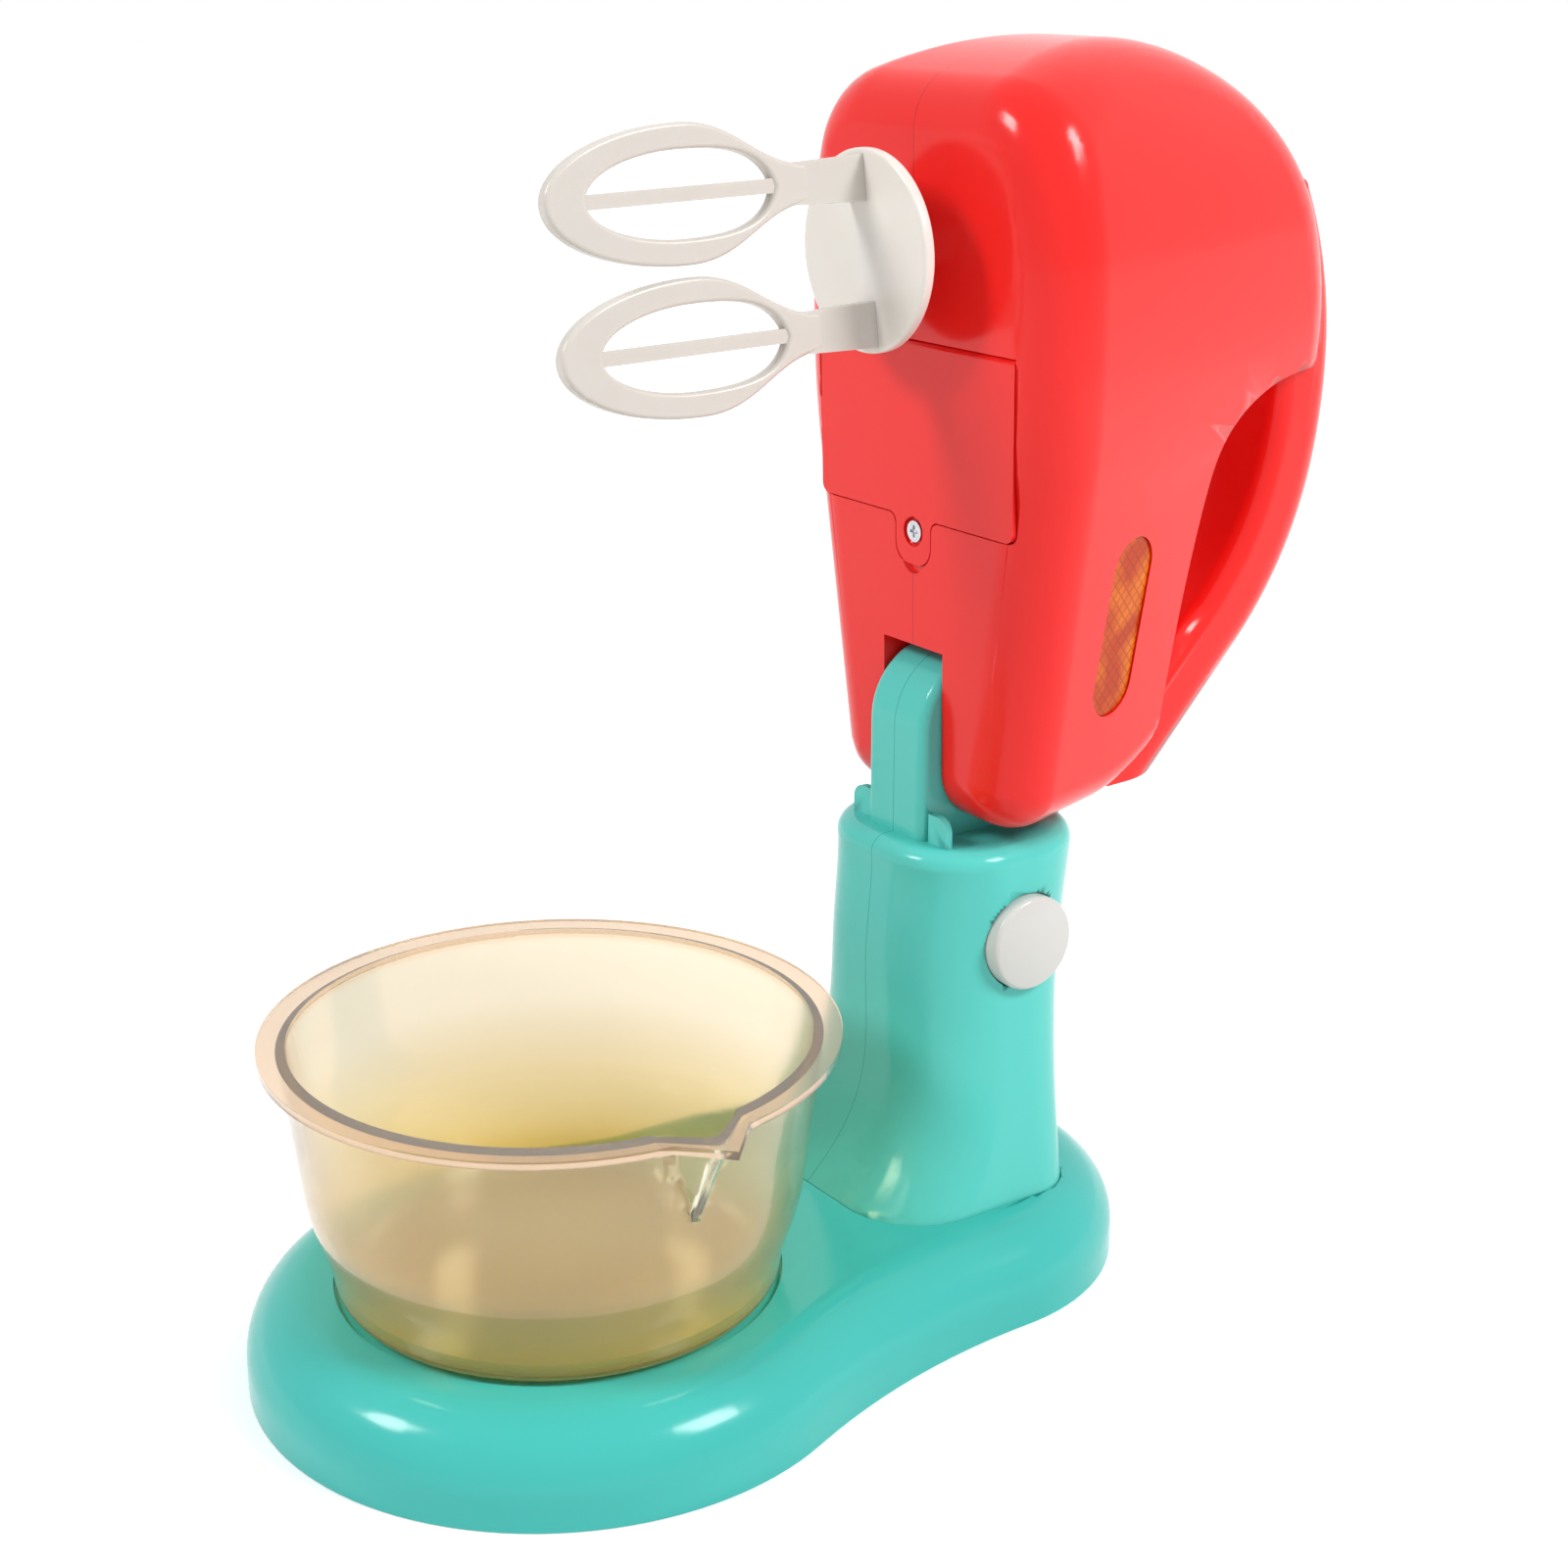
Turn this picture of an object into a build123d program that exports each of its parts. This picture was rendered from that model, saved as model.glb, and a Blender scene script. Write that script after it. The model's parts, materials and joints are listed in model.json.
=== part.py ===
from build123d import *
from math import acos, atan2, cos, degrees, hypot, pi, radians, sin, sqrt, tan
import os

# A child's toy stand mixer: a hollow stand with a column, a loose bowl, and a hand-mixer head
# that tilts on a pin at the top of the column. All sizes are in millimetres.
# The origin is on the ground under the bowl's axis, +X points to the column, +Z is up, and
# the plane y = 0 is the seam between the two moulded halves of the column and of the head.

os.makedirs("parts", exist_ok=True)

# ---------------------------------------------------------------- driving dimensions
# clearances
SEAT_GAP = 0.05        # flat seats of pieces that are put together
FIT_GAP = 0.25         # moulded outlines that drop into each other
RUN_GAP = 0.05         # radial clearance of shafts and pins

# screws
SCREW_R = 1.4
SCREW_HEAD_R = 2.9
SCREW_HEAD_T = 1.8
SCREW_PILOT_R = 1.5
SCREW_CLEAR_R = 1.8
SCREW_WELL_R = 3.3
BOSS_R = 4.0

# base
BASE_R = 59.6          # round end under the bowl
HEEL_R = 45.5          # round end under the column
HEEL_X = 81.0
WAIST_R = 150.0        # concave sides between the round ends
BASE_H = 18.4
BASE_ROUND = 13.0
BASE_WALL = 2.5
BASE_TOP = 3.0
PLATE_T = 2.5
PLATE_WELL_H = 5.5     # height of the raised screw wells of the bottom plate
SEAT_DEPTH = 1.0       # recess that the bowl stands in
FOOT_DEPTH = 1.5       # recess that the column stands in
BASE_SCREWS = [(-42.0, 0.0), (14.0, 40.0), (14.0, -40.0), (113.0, 0.0)]

# bowl
RIM_R = 54.0
RIM_Z = 68.0
LIP_T = 1.6
BOWL_WALL = 1.8
BOWL_FOOT_R = 38.5
BOWL_FOOT_ROUND = 4.0
BOWL_SIDE = [(42.6, 22.0), (46.0, 34.0), (47.9, 46.6), (50.4, 66.0)]
SPOUT_TIP = 60.0
SPOUT_HALF = 10.4
SPOUT_DROP = 21.0
SPOUT_ROUND = 2.5

# column
COLUMN_TOP = 90.2
COLUMN_WALL = 2.2
COLUMN_TOP_T = 2.5
COLUMN_FRONT = 73.2
COLUMN_BACK = 118.5
COLUMN_HALF = 22.5
FOOT_FRONT = 58.7
FOOT_BACK = 106.4
FOOT_HALF = 31.0
FLARE_TOP = 48.0       # the front flares forward below this height
SPREAD_TOP = 66.0      # the sides spread below this height
FRONT_CORNER = 17.0
BACK_CORNER = (12.0, 21.0)
COLUMN_ROUND = 3.5
COLUMN_SCREWS = [(86.0, 36.0), (84.5, 83.0)]
FOOT_SCREWS = [(80.0, 23.0), (99.5, 20.5)]

# hinge
PIVOT_X = 94.2
PIVOT_Z = 112.0
LEAN = 1.09            # the raised head leans this much towards the bowl, in degrees
PIN_R = 2.5
PIN_HALF = 15.4
TONGUE_R = 14.7
TONGUE_HALF = 8.8
TONGUE_ROUND = 2.0
TAB_T = 1.5
TAB_FROM = 9.3
TAB_TO = 15.0
TAB_X = 81.0
TAB_TOP = 96.1

# release button
BUTTON_X = 95.7
BUTTON_Z = 70.3
BUTTON_R = 9.75
BUTTON_FACE = 26.5     # distance of the domed face from the seam
BUTTON_DOME = 34.0
BUTTON_FLANGE_R = BUTTON_R + 1.65
BUTTON_FLANGE = (15.2, 13.6)
STEM_R = 3.0
STEM_END = 1.0         # distance of the stem's end from the seam
BUTTON_EDGE = 1.2
RIB_FACE = 6.0         # rib that guides the stem
RIB_T = 1.6
SPRING_R = 5.2
SPRING_WIRE = 0.8
SPRING_TURNS = 4

# head body, in its own frame: h is the depth from the pivot, s the height above it
HEAD_HALF = 42.5
HEAD_FACE = -10.15     # underside of the mixer, which faces the bowl side when raised
HEAD_DRAFT = 14.9
HEAD_WALL = 2.0
RIDGE = 88.6
BACK_S = 72.2
BACK_R = 133.0
BACK_STUB = 4.0        # degrees of the back arc above the handle opening
CREST_R = 54.6
CREST_TURN = 61.5
CROWN_R = 75.7
SHOULDER_S = 107.5
SHOULDER_TURN = 29.8
SHOULDER_R = 67.6
WAIST_S = 62.0         # the sides taper below this height
WAIST_SLOPE = 0.16
WAIST_ROUND = 150.0
SOLE_S = -18.7
SOLE_H = 18.0
SOLE_R = 38.0
SOLE_ARC = 60.0
RIM_ROUND = 17.2
SOLE_ROUND = 10.0
FACE_ROUND = 11.0
OPENING = [(37.0, -12.0), (39.4, 8.0), (42.8, 40.0), (47.4, 53.0), (59.0, 60.5)]

# handle bar
GRIP_HALF = 15.5
GRIP_DEPTH = 18.0
GRIP_TOP = (74.5, 96.0)        # where the bar's centre line starts, inside the body
GRIP_START = 26.0              # degrees that the line leans out there
GRIP_BENDS = [(72.0, 26.0), (90.0, 12.0), (70.0, 33.0)]    # radius and turn, from the top down
GRIP_RUN = 43.0                # straight lower end, which runs into the body
GRIP_SOLE = -17.2
GRIP_ROUND = 9.0
GRIP_INNER_ROUND = 4.5

# slot in the head that takes the tongue
SLOT_HALF = TONGUE_HALF + 0.4
SLOT_TOP = 16.3
SLOT_BACK = 16.3
CHEEK = 2.0
CHEEK_BOSS_R = 5.5
CHEEK_BOSS = 15.6

# head screws, (h, s)
HEAD_SCREWS = [(1.0, 117.0), (40.0, 110.0), (64.0, 90.0), (33.5, 20.0), (79.4, 43.0), (57.5, 7.5)]
HEAD_BOSS_R = 4.2
HEAD_WELL_Y = 5.0

# battery compartment
DOOR_LOW = 41.8
DOOR_HIGH = 75.7
DOOR_HALF = 29.4
DOOR_T = 1.9
DOOR_CORNER = 2.0
TAB_HALF = 5.3
TAB_LOW = 32.4
TAB_CORNER = 4.2
DOOR_SCREW_S = 38.9
DOOR_SCREW_WELL_R = 2.95
LUG_Y = 20.0
LUG_W = 6.0
CELL_R = 7.25
CELL_LENGTH = 50.5
CELL_NUB_R = 2.75
CELL_NUB = 1.0
CELL_H = HEAD_FACE + DOOR_T + 0.7 + CELL_R
CELL_S = (58.7 - CELL_R - 0.25, 58.7 + CELL_R + 0.25)
TRAY_WALL = 1.4
TRAY_BACK = CELL_H + CELL_R + 2.25
FLANGE_T = 1.2
CONTACT_T = 0.5

# lenses
LENS_TOP = (20.0, 32.6)
LENS_LOW = (18.7, 8.7)
LENS_R = 6.3
LENS_T = 1.9
LENS_SINK = 0.5
LENS_LIP = 1.3

# drive
MODULE = 0.7
WHEEL_TEETH = 30
PINION_TEETH = 12
TOOTH_DEPTH = (0.85, 1.2)      # addendum and dedendum in modules
BACKLASH = 0.16
SPINDLE_S = 93.2
SPINDLE_R = 3.0
SPINDLE_SQUARE = 2 * SPINDLE_R
SPINDLE_END = -21.0
SPINDLE_INNER = 19.2
AXLE_R = 1.25
BUSH_R = SPINDLE_R + 2.5
BUSH_FLANGE_R = BUSH_R + 2.0
FRONT_GEARS = (14.0, 18.0)
REAR_GEARS = (21.0, 24.6)
PLATE_FRONT = (10.0, 12.0)
PLATE_REAR = (26.2, 28.2)
GEARBOX_HALF = 15.0
GEARBOX_LOW = 78.5
GEARBOX_HIGH = 120.0
POST_R = 2.4
MOTOR_R = 10.0
MOTOR_FLAT = 7.6
MOTOR_LENGTH = 25.0
MOTOR_SHAFT_R = 1.0

# power button at the back ridge
POWER_AT = (90.05, 75.5)           # on the outer surface, (h, s)
POWER_TILT = 7.8                   # degrees that the surface leans up there
POWER_HALF = (4.0, 6.5)
POWER_PROUD = 0.6
POWER_FLANGE = 1.5
POWER_SEAT = 2.6                   # depth of the flange's outer face below the surface
POWER_STROKE = 0.8
SWITCH_SIZE = (7.0, 6.0, 12.8)     # depth, width, height
SWITCH_NUB = 1.0
SWITCH_RIB = 2.0

# beater
DISC_R = 18.6
DISC_T = 2.4
DISC_H = -22.0         # face that carries the whisks
ARM = 13.2             # distance of each whisk from the spindle's axis
STEM_HALF = (4.2, 2.6)
WHISK_T = 3.2
LOOP_START = -34.0
LOOP_NECK = 3.3        # half height of the loop where it enters the stem
LOOP_WIDEST = -60.0
LOOP_TIP = -88.2
LOOP_HALF = 12.2
LOOP_OPEN = (-41.0, -80.0)
LOOP_OPEN_HALF = 7.6
LOOP_BAR = 2.6
LOOP_BAR_T = 2.2
WHISK_ROUND = 0.9
BEATER_TURN = 7.6      # degrees that the beater has turned about the spindle, towards +Y at the top

# ---------------------------------------------------------------- planes and small helpers
UP = (-sin(radians(LEAN)), 0, cos(radians(LEAN)))
DEPTH = (cos(radians(LEAN)), 0, sin(radians(LEAN)))
HEAD = Plane(origin=(PIVOT_X, 0, PIVOT_Z), x_dir=DEPTH, z_dir=(0, -1, 0))


def flank(y):
    """Plane of the head's side view at this y; extrusions run towards -Y."""
    return HEAD.offset(-y)


def front(h):
    """Plane across the head at this depth, with x along +Y; extrusions run to the back."""
    origin = HEAD.from_local_coords(Vector(h, 0, 0))
    return Plane(origin=origin, x_dir=(0, 1, 0), z_dir=DEPTH)


def power_at(depth):
    """Plane of the power button this deep below the surface; extrusions run outwards."""
    tilt = radians(POWER_TILT)
    outward = Vector(*DEPTH) * cos(tilt) + Vector(*UP) * sin(tilt)
    origin = HEAD.from_local_coords(Vector(*POWER_AT)) - outward * depth
    return Plane(origin=origin, x_dir=(0, 1, 0), z_dir=outward)


def stand_side(y):
    """Plane of the stand's side view at this y; extrusions run towards -Y."""
    return Plane.XZ.offset(-y)


def in_head(shape):
    """Centre of a shape in the head's own coordinates (h, s, -y)."""
    return HEAD.to_local_coords(shape.center())


# ---------------------------------------------------------------- base
def waist_points(inset):
    """Ends and middle of the concave arc on the +Y side of the base."""
    reach_bowl = BASE_R + WAIST_R
    reach_heel = HEEL_R + WAIST_R
    centre_x = (reach_bowl**2 - reach_heel**2 + HEEL_X**2) / (2 * HEEL_X)
    centre = Vector(centre_x, sqrt(reach_bowl**2 - centre_x**2))
    heel = Vector(HEEL_X, 0)
    start = centre.normalized() * (BASE_R - inset)
    end = heel + (centre - heel).normalized() * (HEEL_R - inset)
    middle = centre + ((start + end) * 0.5 - centre).normalized() * (WAIST_R + inset)
    return start, middle, end


def base_outline(inset=0.0):
    start, middle, end = waist_points(inset)
    with BuildSketch() as outline:
        with BuildLine():
            ThreePointArc(start, middle, end)
            ThreePointArc(end, (HEEL_X + HEEL_R - inset, 0), (end.X, -end.Y))
            ThreePointArc((end.X, -end.Y), (middle.X, -middle.Y), (start.X, -start.Y))
            ThreePointArc((start.X, -start.Y), (inset - BASE_R, 0), start)
        make_face()
    return outline.sketch


def column_section(z, inset=0.0):
    """Rounded outline of the column at height z."""
    flare = max(0.0, (FLARE_TOP - z) / (FLARE_TOP - BASE_H))**2.4
    spread = max(0.0, (SPREAD_TOP - z) / (SPREAD_TOP - BASE_H))**1.6
    rise = (z - BASE_H) / (COLUMN_TOP - BASE_H)
    front_x = COLUMN_FRONT + (FOOT_FRONT - COLUMN_FRONT) * flare + inset
    back_x = FOOT_BACK + (COLUMN_BACK - FOOT_BACK) * rise - inset
    half = COLUMN_HALF + (FOOT_HALF - COLUMN_HALF) * spread - inset
    back_corner = BACK_CORNER[0] + (BACK_CORNER[1] - BACK_CORNER[0]) * rise
    with BuildSketch(Plane.XY.offset(z)) as section:
        with BuildLine():
            Polyline((front_x, -half), (back_x, -half), (back_x, half), (front_x, half), close=True)
        make_face()
        fillet(section.vertices().group_by(Axis.X)[0], FRONT_CORNER - inset)
        fillet(section.vertices().group_by(Axis.X)[-1], back_corner - inset)
    return section.sketch


COLUMN_HEIGHTS = [BASE_H, 25.0, 33.0, 43.0, 54.0, 70.0]
FOOT_Z = BASE_H - FOOT_DEPTH
SCREW_Z = PLATE_WELL_H - SCREW_HEAD_T - SEAT_GAP - 0.5
ALL_FOOT_SCREWS = [(x, side * y) for x, y in FOOT_SCREWS for side in (1, -1)]

with BuildPart() as base_core:
    with BuildSketch():
        add(base_outline(BASE_WALL))
    extrude(amount=BASE_H - BASE_TOP)
    fillet(base_core.faces().sort_by(Axis.Z)[-1].edges(), BASE_ROUND - BASE_WALL)

with BuildPart() as base_shell:
    with BuildSketch():
        add(base_outline())
    extrude(amount=BASE_H)
    fillet(base_shell.faces().sort_by(Axis.Z)[-1].edges(), BASE_ROUND)
    add(base_core.part, mode=Mode.SUBTRACT)
    with BuildSketch(Plane.XY.offset(PLATE_WELL_H + SEAT_GAP)):
        with Locations(*BASE_SCREWS):
            Circle(BOSS_R)
    extrude(amount=BASE_H - BASE_TOP / 2 - PLATE_WELL_H)
    with BuildSketch(Plane.XY.offset(PLATE_WELL_H)):
        with Locations(*BASE_SCREWS):
            Circle(SCREW_PILOT_R)
    extrude(amount=BASE_H - BASE_TOP - PLATE_WELL_H, mode=Mode.SUBTRACT)
    with BuildSketch(Plane.XY.offset(BASE_H - SEAT_DEPTH)):
        Circle(BOWL_FOOT_R + BOWL_FOOT_ROUND + FIT_GAP)
    extrude(amount=BASE_H, mode=Mode.SUBTRACT)
    with BuildSketch(Plane.XY.offset(FOOT_Z)):
        add(column_section(BASE_H, -FIT_GAP).moved(Location((0, 0, -BASE_H))))
    extrude(amount=BASE_H, mode=Mode.SUBTRACT)
    with BuildSketch(Plane.XY.offset(BASE_H / 2)):
        with Locations(*ALL_FOOT_SCREWS):
            Circle(BOSS_R + FIT_GAP)
    extrude(amount=BASE_H, mode=Mode.SUBTRACT)
base_shell.part.label = "base_shell"

with BuildPart() as base_plate:
    with BuildSketch():
        add(base_outline(BASE_WALL + FIT_GAP))
    extrude(amount=PLATE_T)
    with BuildSketch():
        with Locations(*BASE_SCREWS, *ALL_FOOT_SCREWS):
            Circle(SCREW_WELL_R + 1.6)
    extrude(amount=PLATE_WELL_H)
    with Locations(*[(x, y, 0) for x, y in BASE_SCREWS + ALL_FOOT_SCREWS]):
        Cylinder(SCREW_WELL_R, SCREW_Z + SCREW_HEAD_T + SEAT_GAP,
                 align=(Align.CENTER, Align.CENTER, Align.MIN), mode=Mode.SUBTRACT)
        Cylinder(SCREW_CLEAR_R, PLATE_WELL_H,
                 align=(Align.CENTER, Align.CENTER, Align.MIN), mode=Mode.SUBTRACT)
base_plate.part.label = "base_plate"

with BuildPart() as base_screws:
    with Locations(*[(x, y, SCREW_Z) for x, y in BASE_SCREWS + ALL_FOOT_SCREWS]):
        Cylinder(SCREW_HEAD_R, SCREW_HEAD_T, align=(Align.CENTER, Align.CENTER, Align.MIN))
        Cylinder(SCREW_R, 11.0, align=(Align.CENTER, Align.CENTER, Align.MIN))
base_screws.part.label = "base_screws"

# ---------------------------------------------------------------- column and tongue
with BuildPart() as column_form:
    for height in COLUMN_HEIGHTS + [COLUMN_TOP]:
        add(column_section(height))
    loft()
    fillet(column_form.faces().sort_by(Axis.Z)[-1].edges(), COLUMN_ROUND)
    add(column_section(BASE_H))
    extrude(amount=-FOOT_DEPTH)

with BuildPart() as column_core:
    for height in COLUMN_HEIGHTS + [COLUMN_TOP - COLUMN_TOP_T]:
        add(column_section(height, COLUMN_WALL))
    loft()
    add(column_section(BASE_H, COLUMN_WALL))
    extrude(amount=-FOOT_DEPTH)

with BuildPart() as tongue:
    with BuildSketch(stand_side(TONGUE_HALF)):
        with Locations((PIVOT_X, PIVOT_Z)):
            Circle(TONGUE_R)
            Rectangle(2 * TONGUE_R, PIVOT_Z - COLUMN_TOP + COLUMN_TOP_T / 2,
                      align=(Align.CENTER, Align.MAX))
    extrude(amount=2 * TONGUE_HALF)
    fillet(tongue.faces().filter_by(Axis.Y).edges(), TONGUE_ROUND)

with BuildPart() as column_fittings:
    # bosses of the seam screws and the rib that guides the button's stem
    with BuildSketch(stand_side(FOOT_HALF)):
        with Locations(*COLUMN_SCREWS):
            Circle(BOSS_R)
    extrude(amount=2 * FOOT_HALF)
    with BuildSketch(stand_side(-RIB_FACE + RIB_T)):
        with Locations((BUTTON_X, BUTTON_Z)):
            Rectangle(2 * COLUMN_HALF, 2 * BUTTON_FLANGE_R)
            Circle(STEM_R + FIT_GAP, mode=Mode.SUBTRACT)
    extrude(amount=RIB_T)
    with BuildSketch(Plane.XY.offset(FOOT_Z)):
        with Locations(*ALL_FOOT_SCREWS):
            Circle(BOSS_R)
    extrude(amount=22.0)
    add(column_form.part, mode=Mode.INTERSECT)

with BuildPart() as column:
    add(column_form.part)
    add(column_core.part, mode=Mode.SUBTRACT)
    add(column_fittings.part)
    add(tongue.part)
    with BuildSketch(Plane.YZ.offset(TAB_X)) as tabs:
        for side in (1, -1):
            with Locations((side * (TAB_FROM + TAB_TO) / 2, COLUMN_TOP - COLUMN_TOP_T / 2)):
                Rectangle(TAB_TO - TAB_FROM, TAB_TOP - COLUMN_TOP + COLUMN_TOP_T / 2,
                          align=(Align.CENTER, Align.MIN))
        outer = [v for v in tabs.vertices() if v.Y > TAB_TOP - 1 and abs(v.X) > TAB_TO - 1]
        fillet(outer, 3.0)
    extrude(amount=TAB_T)
    with BuildSketch(Plane.XY.offset(PLATE_WELL_H + SEAT_GAP)):
        with Locations(*ALL_FOOT_SCREWS):
            Circle(BOSS_R)
    extrude(amount=FOOT_Z - PLATE_WELL_H)
    with BuildSketch(Plane.XY.offset(PLATE_WELL_H)):
        with Locations(*ALL_FOOT_SCREWS):
            Circle(SCREW_PILOT_R)
    extrude(amount=BASE_H, mode=Mode.SUBTRACT)
    with BuildSketch(stand_side(TONGUE_HALF + 1)):
        with Locations((PIVOT_X, PIVOT_Z)):
            Circle(PIN_R + RUN_GAP)
    extrude(amount=2 * TONGUE_HALF + 2, mode=Mode.SUBTRACT)

with BuildPart() as column_left:
    add(column.part)
    split(bisect_by=Plane.XZ, keep=Keep.BOTTOM)
    with BuildSketch(stand_side(FOOT_HALF)):
        with Locations(*COLUMN_SCREWS):
            Circle(SCREW_WELL_R)
    extrude(amount=FOOT_HALF - HEAD_WELL_Y, mode=Mode.SUBTRACT)
    with BuildSketch(stand_side(FOOT_HALF)):
        with Locations(*COLUMN_SCREWS):
            Circle(SCREW_CLEAR_R)
    extrude(amount=FOOT_HALF, mode=Mode.SUBTRACT)
column_left.part.label = "column_left"

with BuildPart() as column_right:
    add(column.part)
    split(bisect_by=Plane.XZ, keep=Keep.TOP)
    with BuildSketch(stand_side(0)):
        with Locations(*COLUMN_SCREWS):
            Circle(SCREW_PILOT_R)
    extrude(amount=12.0, mode=Mode.SUBTRACT)
    with BuildSketch(stand_side(-BUTTON_FLANGE[1])):
        with Locations((BUTTON_X, BUTTON_Z)):
            Circle(BUTTON_R + FIT_GAP)
    extrude(amount=FOOT_HALF, mode=Mode.SUBTRACT)
column_right.part.label = "column_right"

with BuildPart() as column_screws:
    for x, z in COLUMN_SCREWS:
        with BuildSketch(stand_side(HEAD_WELL_Y + SCREW_HEAD_T + SEAT_GAP)):
            with Locations((x, z)):
                Circle(SCREW_HEAD_R)
        extrude(amount=SCREW_HEAD_T)
        with BuildSketch(stand_side(HEAD_WELL_Y + SCREW_HEAD_T)):
            with Locations((x, z)):
                Circle(SCREW_R)
        extrude(amount=16.0)
column_screws.part.label = "column_screws"

with BuildPart() as hinge_pin:
    with BuildSketch(stand_side(PIN_HALF)):
        with Locations((PIVOT_X, PIVOT_Z)):
            Circle(PIN_R)
    extrude(amount=2 * PIN_HALF)
    chamfer(hinge_pin.faces().filter_by(Axis.Y).edges(), 0.4)
hinge_pin.part.label = "hinge_pin"

# ---------------------------------------------------------------- release button
BUTTON_AXIS = Plane(origin=(BUTTON_X, 0, BUTTON_Z), x_dir=(1, 0, 0), z_dir=(0, -1, 0))
BUTTON_SECTION = Plane(origin=(BUTTON_X, 0, BUTTON_Z), x_dir=(1, 0, 0), z_dir=(0, 0, -1))

with BuildPart() as release_button:
    with BuildSketch(BUTTON_SECTION) as half_section:
        dome_edge = BUTTON_FACE - BUTTON_DOME + sqrt(BUTTON_DOME**2 - BUTTON_R**2)
        with BuildLine():
            Polyline((0, BUTTON_FACE), (0, STEM_END), (STEM_R, STEM_END), (STEM_R, BUTTON_FLANGE[1]),
                     (BUTTON_FLANGE_R, BUTTON_FLANGE[1]), (BUTTON_FLANGE_R, BUTTON_FLANGE[0]),
                     (BUTTON_R, BUTTON_FLANGE[0]), (BUTTON_R, dome_edge))
            RadiusArc((BUTTON_R, dome_edge), (0, BUTTON_FACE), -BUTTON_DOME)
        make_face()
        corner = [v for v in half_section.vertices() if abs(v.X - BUTTON_R) < 0.01 and v.Y > BUTTON_FLANGE[0] + 1]
        fillet(corner, BUTTON_EDGE)
    revolve(axis=Axis((BUTTON_X, 0, BUTTON_Z), (0, -1, 0)))
release_button.part.label = "release_button"

with BuildPart() as latch_bar:
    with BuildSketch(BUTTON_AXIS.offset(-2.0)):
        RectangleRounded(9.0, 22.0, 1.5)
    extrude(amount=2.0 + STEM_END - SEAT_GAP)
    with BuildSketch(BUTTON_AXIS.offset(-5.0)):
        with Locations((0, 9.0)):
            Rectangle(6.0, 3.0)
    extrude(amount=3.0)
latch_bar.part.label = "latch_bar"

SPRING_LENGTH = BUTTON_FLANGE[1] - RIB_FACE - 2 * SEAT_GAP - SPRING_WIRE
with BuildPart() as button_spring:
    with BuildLine():
        coil = Helix(SPRING_LENGTH / SPRING_TURNS, SPRING_LENGTH, SPRING_R, direction=(0, -1, 0),
                     center=(BUTTON_X, -RIB_FACE - SEAT_GAP - SPRING_WIRE / 2, BUTTON_Z))
    with BuildSketch(Plane(origin=coil @ 0, x_dir=(0, 1, 0), z_dir=coil % 0)):
        Rectangle(SPRING_WIRE, SPRING_WIRE)
    sweep(path=coil, is_frenet=True)
button_spring.part.label = "button_spring"

# ---------------------------------------------------------------- bowl
BOWL_Z = BASE_H - SEAT_DEPTH + SEAT_GAP


def bowl_form(inset=0.0):
    """Solid outer form of the bowl, or its hollow when inset by the wall."""
    side = [(r - inset, z) for r, z in BOWL_SIDE]
    low = BOWL_Z + inset
    foot = BOWL_FOOT_R + BOWL_FOOT_ROUND - inset
    top = (side[-1][0] + (RIM_Z - BOWL_SIDE[-1][1]) * 0.12, RIM_Z + inset)
    with BuildPart() as form:
        with BuildSketch(Plane.XZ):
            with BuildLine():
                Line((0, low), (BOWL_FOOT_R - inset, low))
                ThreePointArc((BOWL_FOOT_R - inset, low),
                              (foot - BOWL_FOOT_ROUND * (1 - sin(pi / 4)), low + BOWL_FOOT_ROUND * (1 - cos(pi / 4))),
                              (foot, low + BOWL_FOOT_ROUND))
                Spline((foot, low + BOWL_FOOT_ROUND), *side[1:], tangents=[(0.12, 1), (0.12, 1)])
                Line(side[-1], top)
                Polyline(top, (0, top[1]), (0, low))
            make_face()
        revolve(axis=Axis.Z)
        with BuildSketch(Plane.XY.offset(RIM_Z + inset)):
            add(spout_outline(inset))
        with BuildSketch(Plane.XY.offset(RIM_Z - SPOUT_DROP)):
            with Locations((0, inset - BOWL_SIDE[2][0] + 1.5)):
                Rectangle(1.0, 2.0)
        loft()
    return form.part


def spout_outline(inset=0.0):
    """V-shaped spout at the rim, pointing to -Y."""
    half = SPOUT_HALF - 0.6 * inset
    tip = SPOUT_TIP - 1.7 - 1.35 * inset
    with BuildSketch() as outline:
        with BuildLine():
            Polyline((-half, -46.0), (-half, -49.0), (0, -tip), (half, -49.0), (half, -46.0), close=True)
        make_face()
        fillet(outline.vertices().sort_by(Axis.Y)[0], SPOUT_ROUND)
    return outline.sketch


with BuildPart() as bowl:
    add(bowl_form())
    with BuildSketch(Plane.XY.offset(RIM_Z - LIP_T)):
        Circle(RIM_R)
        with BuildLine():
            Polyline((-SPOUT_HALF - 2.6, -48.0), (0, -SPOUT_TIP - 1.5), (SPOUT_HALF + 2.6, -48.0), close=True)
        make_face()
    extrude(amount=LIP_T)
    add(bowl_form(BOWL_WALL), mode=Mode.SUBTRACT)
bowl.part.label = "bowl"

# ---------------------------------------------------------------- head form
def back_arcs(inset=0.0):
    """Centre and radius of the back, crest and crown arcs of the side view, as (h, s, r)."""
    ridge = RIDGE - inset
    back_r, crest_r, crown_r = BACK_R - inset, CREST_R - inset, CROWN_R - inset
    turn = radians(CREST_TURN)
    crest_h = ridge - crest_r
    crown_h = crest_h + (crest_r - crown_r) * cos(turn)
    crown_s = BACK_S + (crest_r - crown_r) * sin(turn)
    return (ridge - back_r, BACK_S, back_r), (crest_h, BACK_S, crest_r), (crown_h, crown_s, crown_r)


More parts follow.
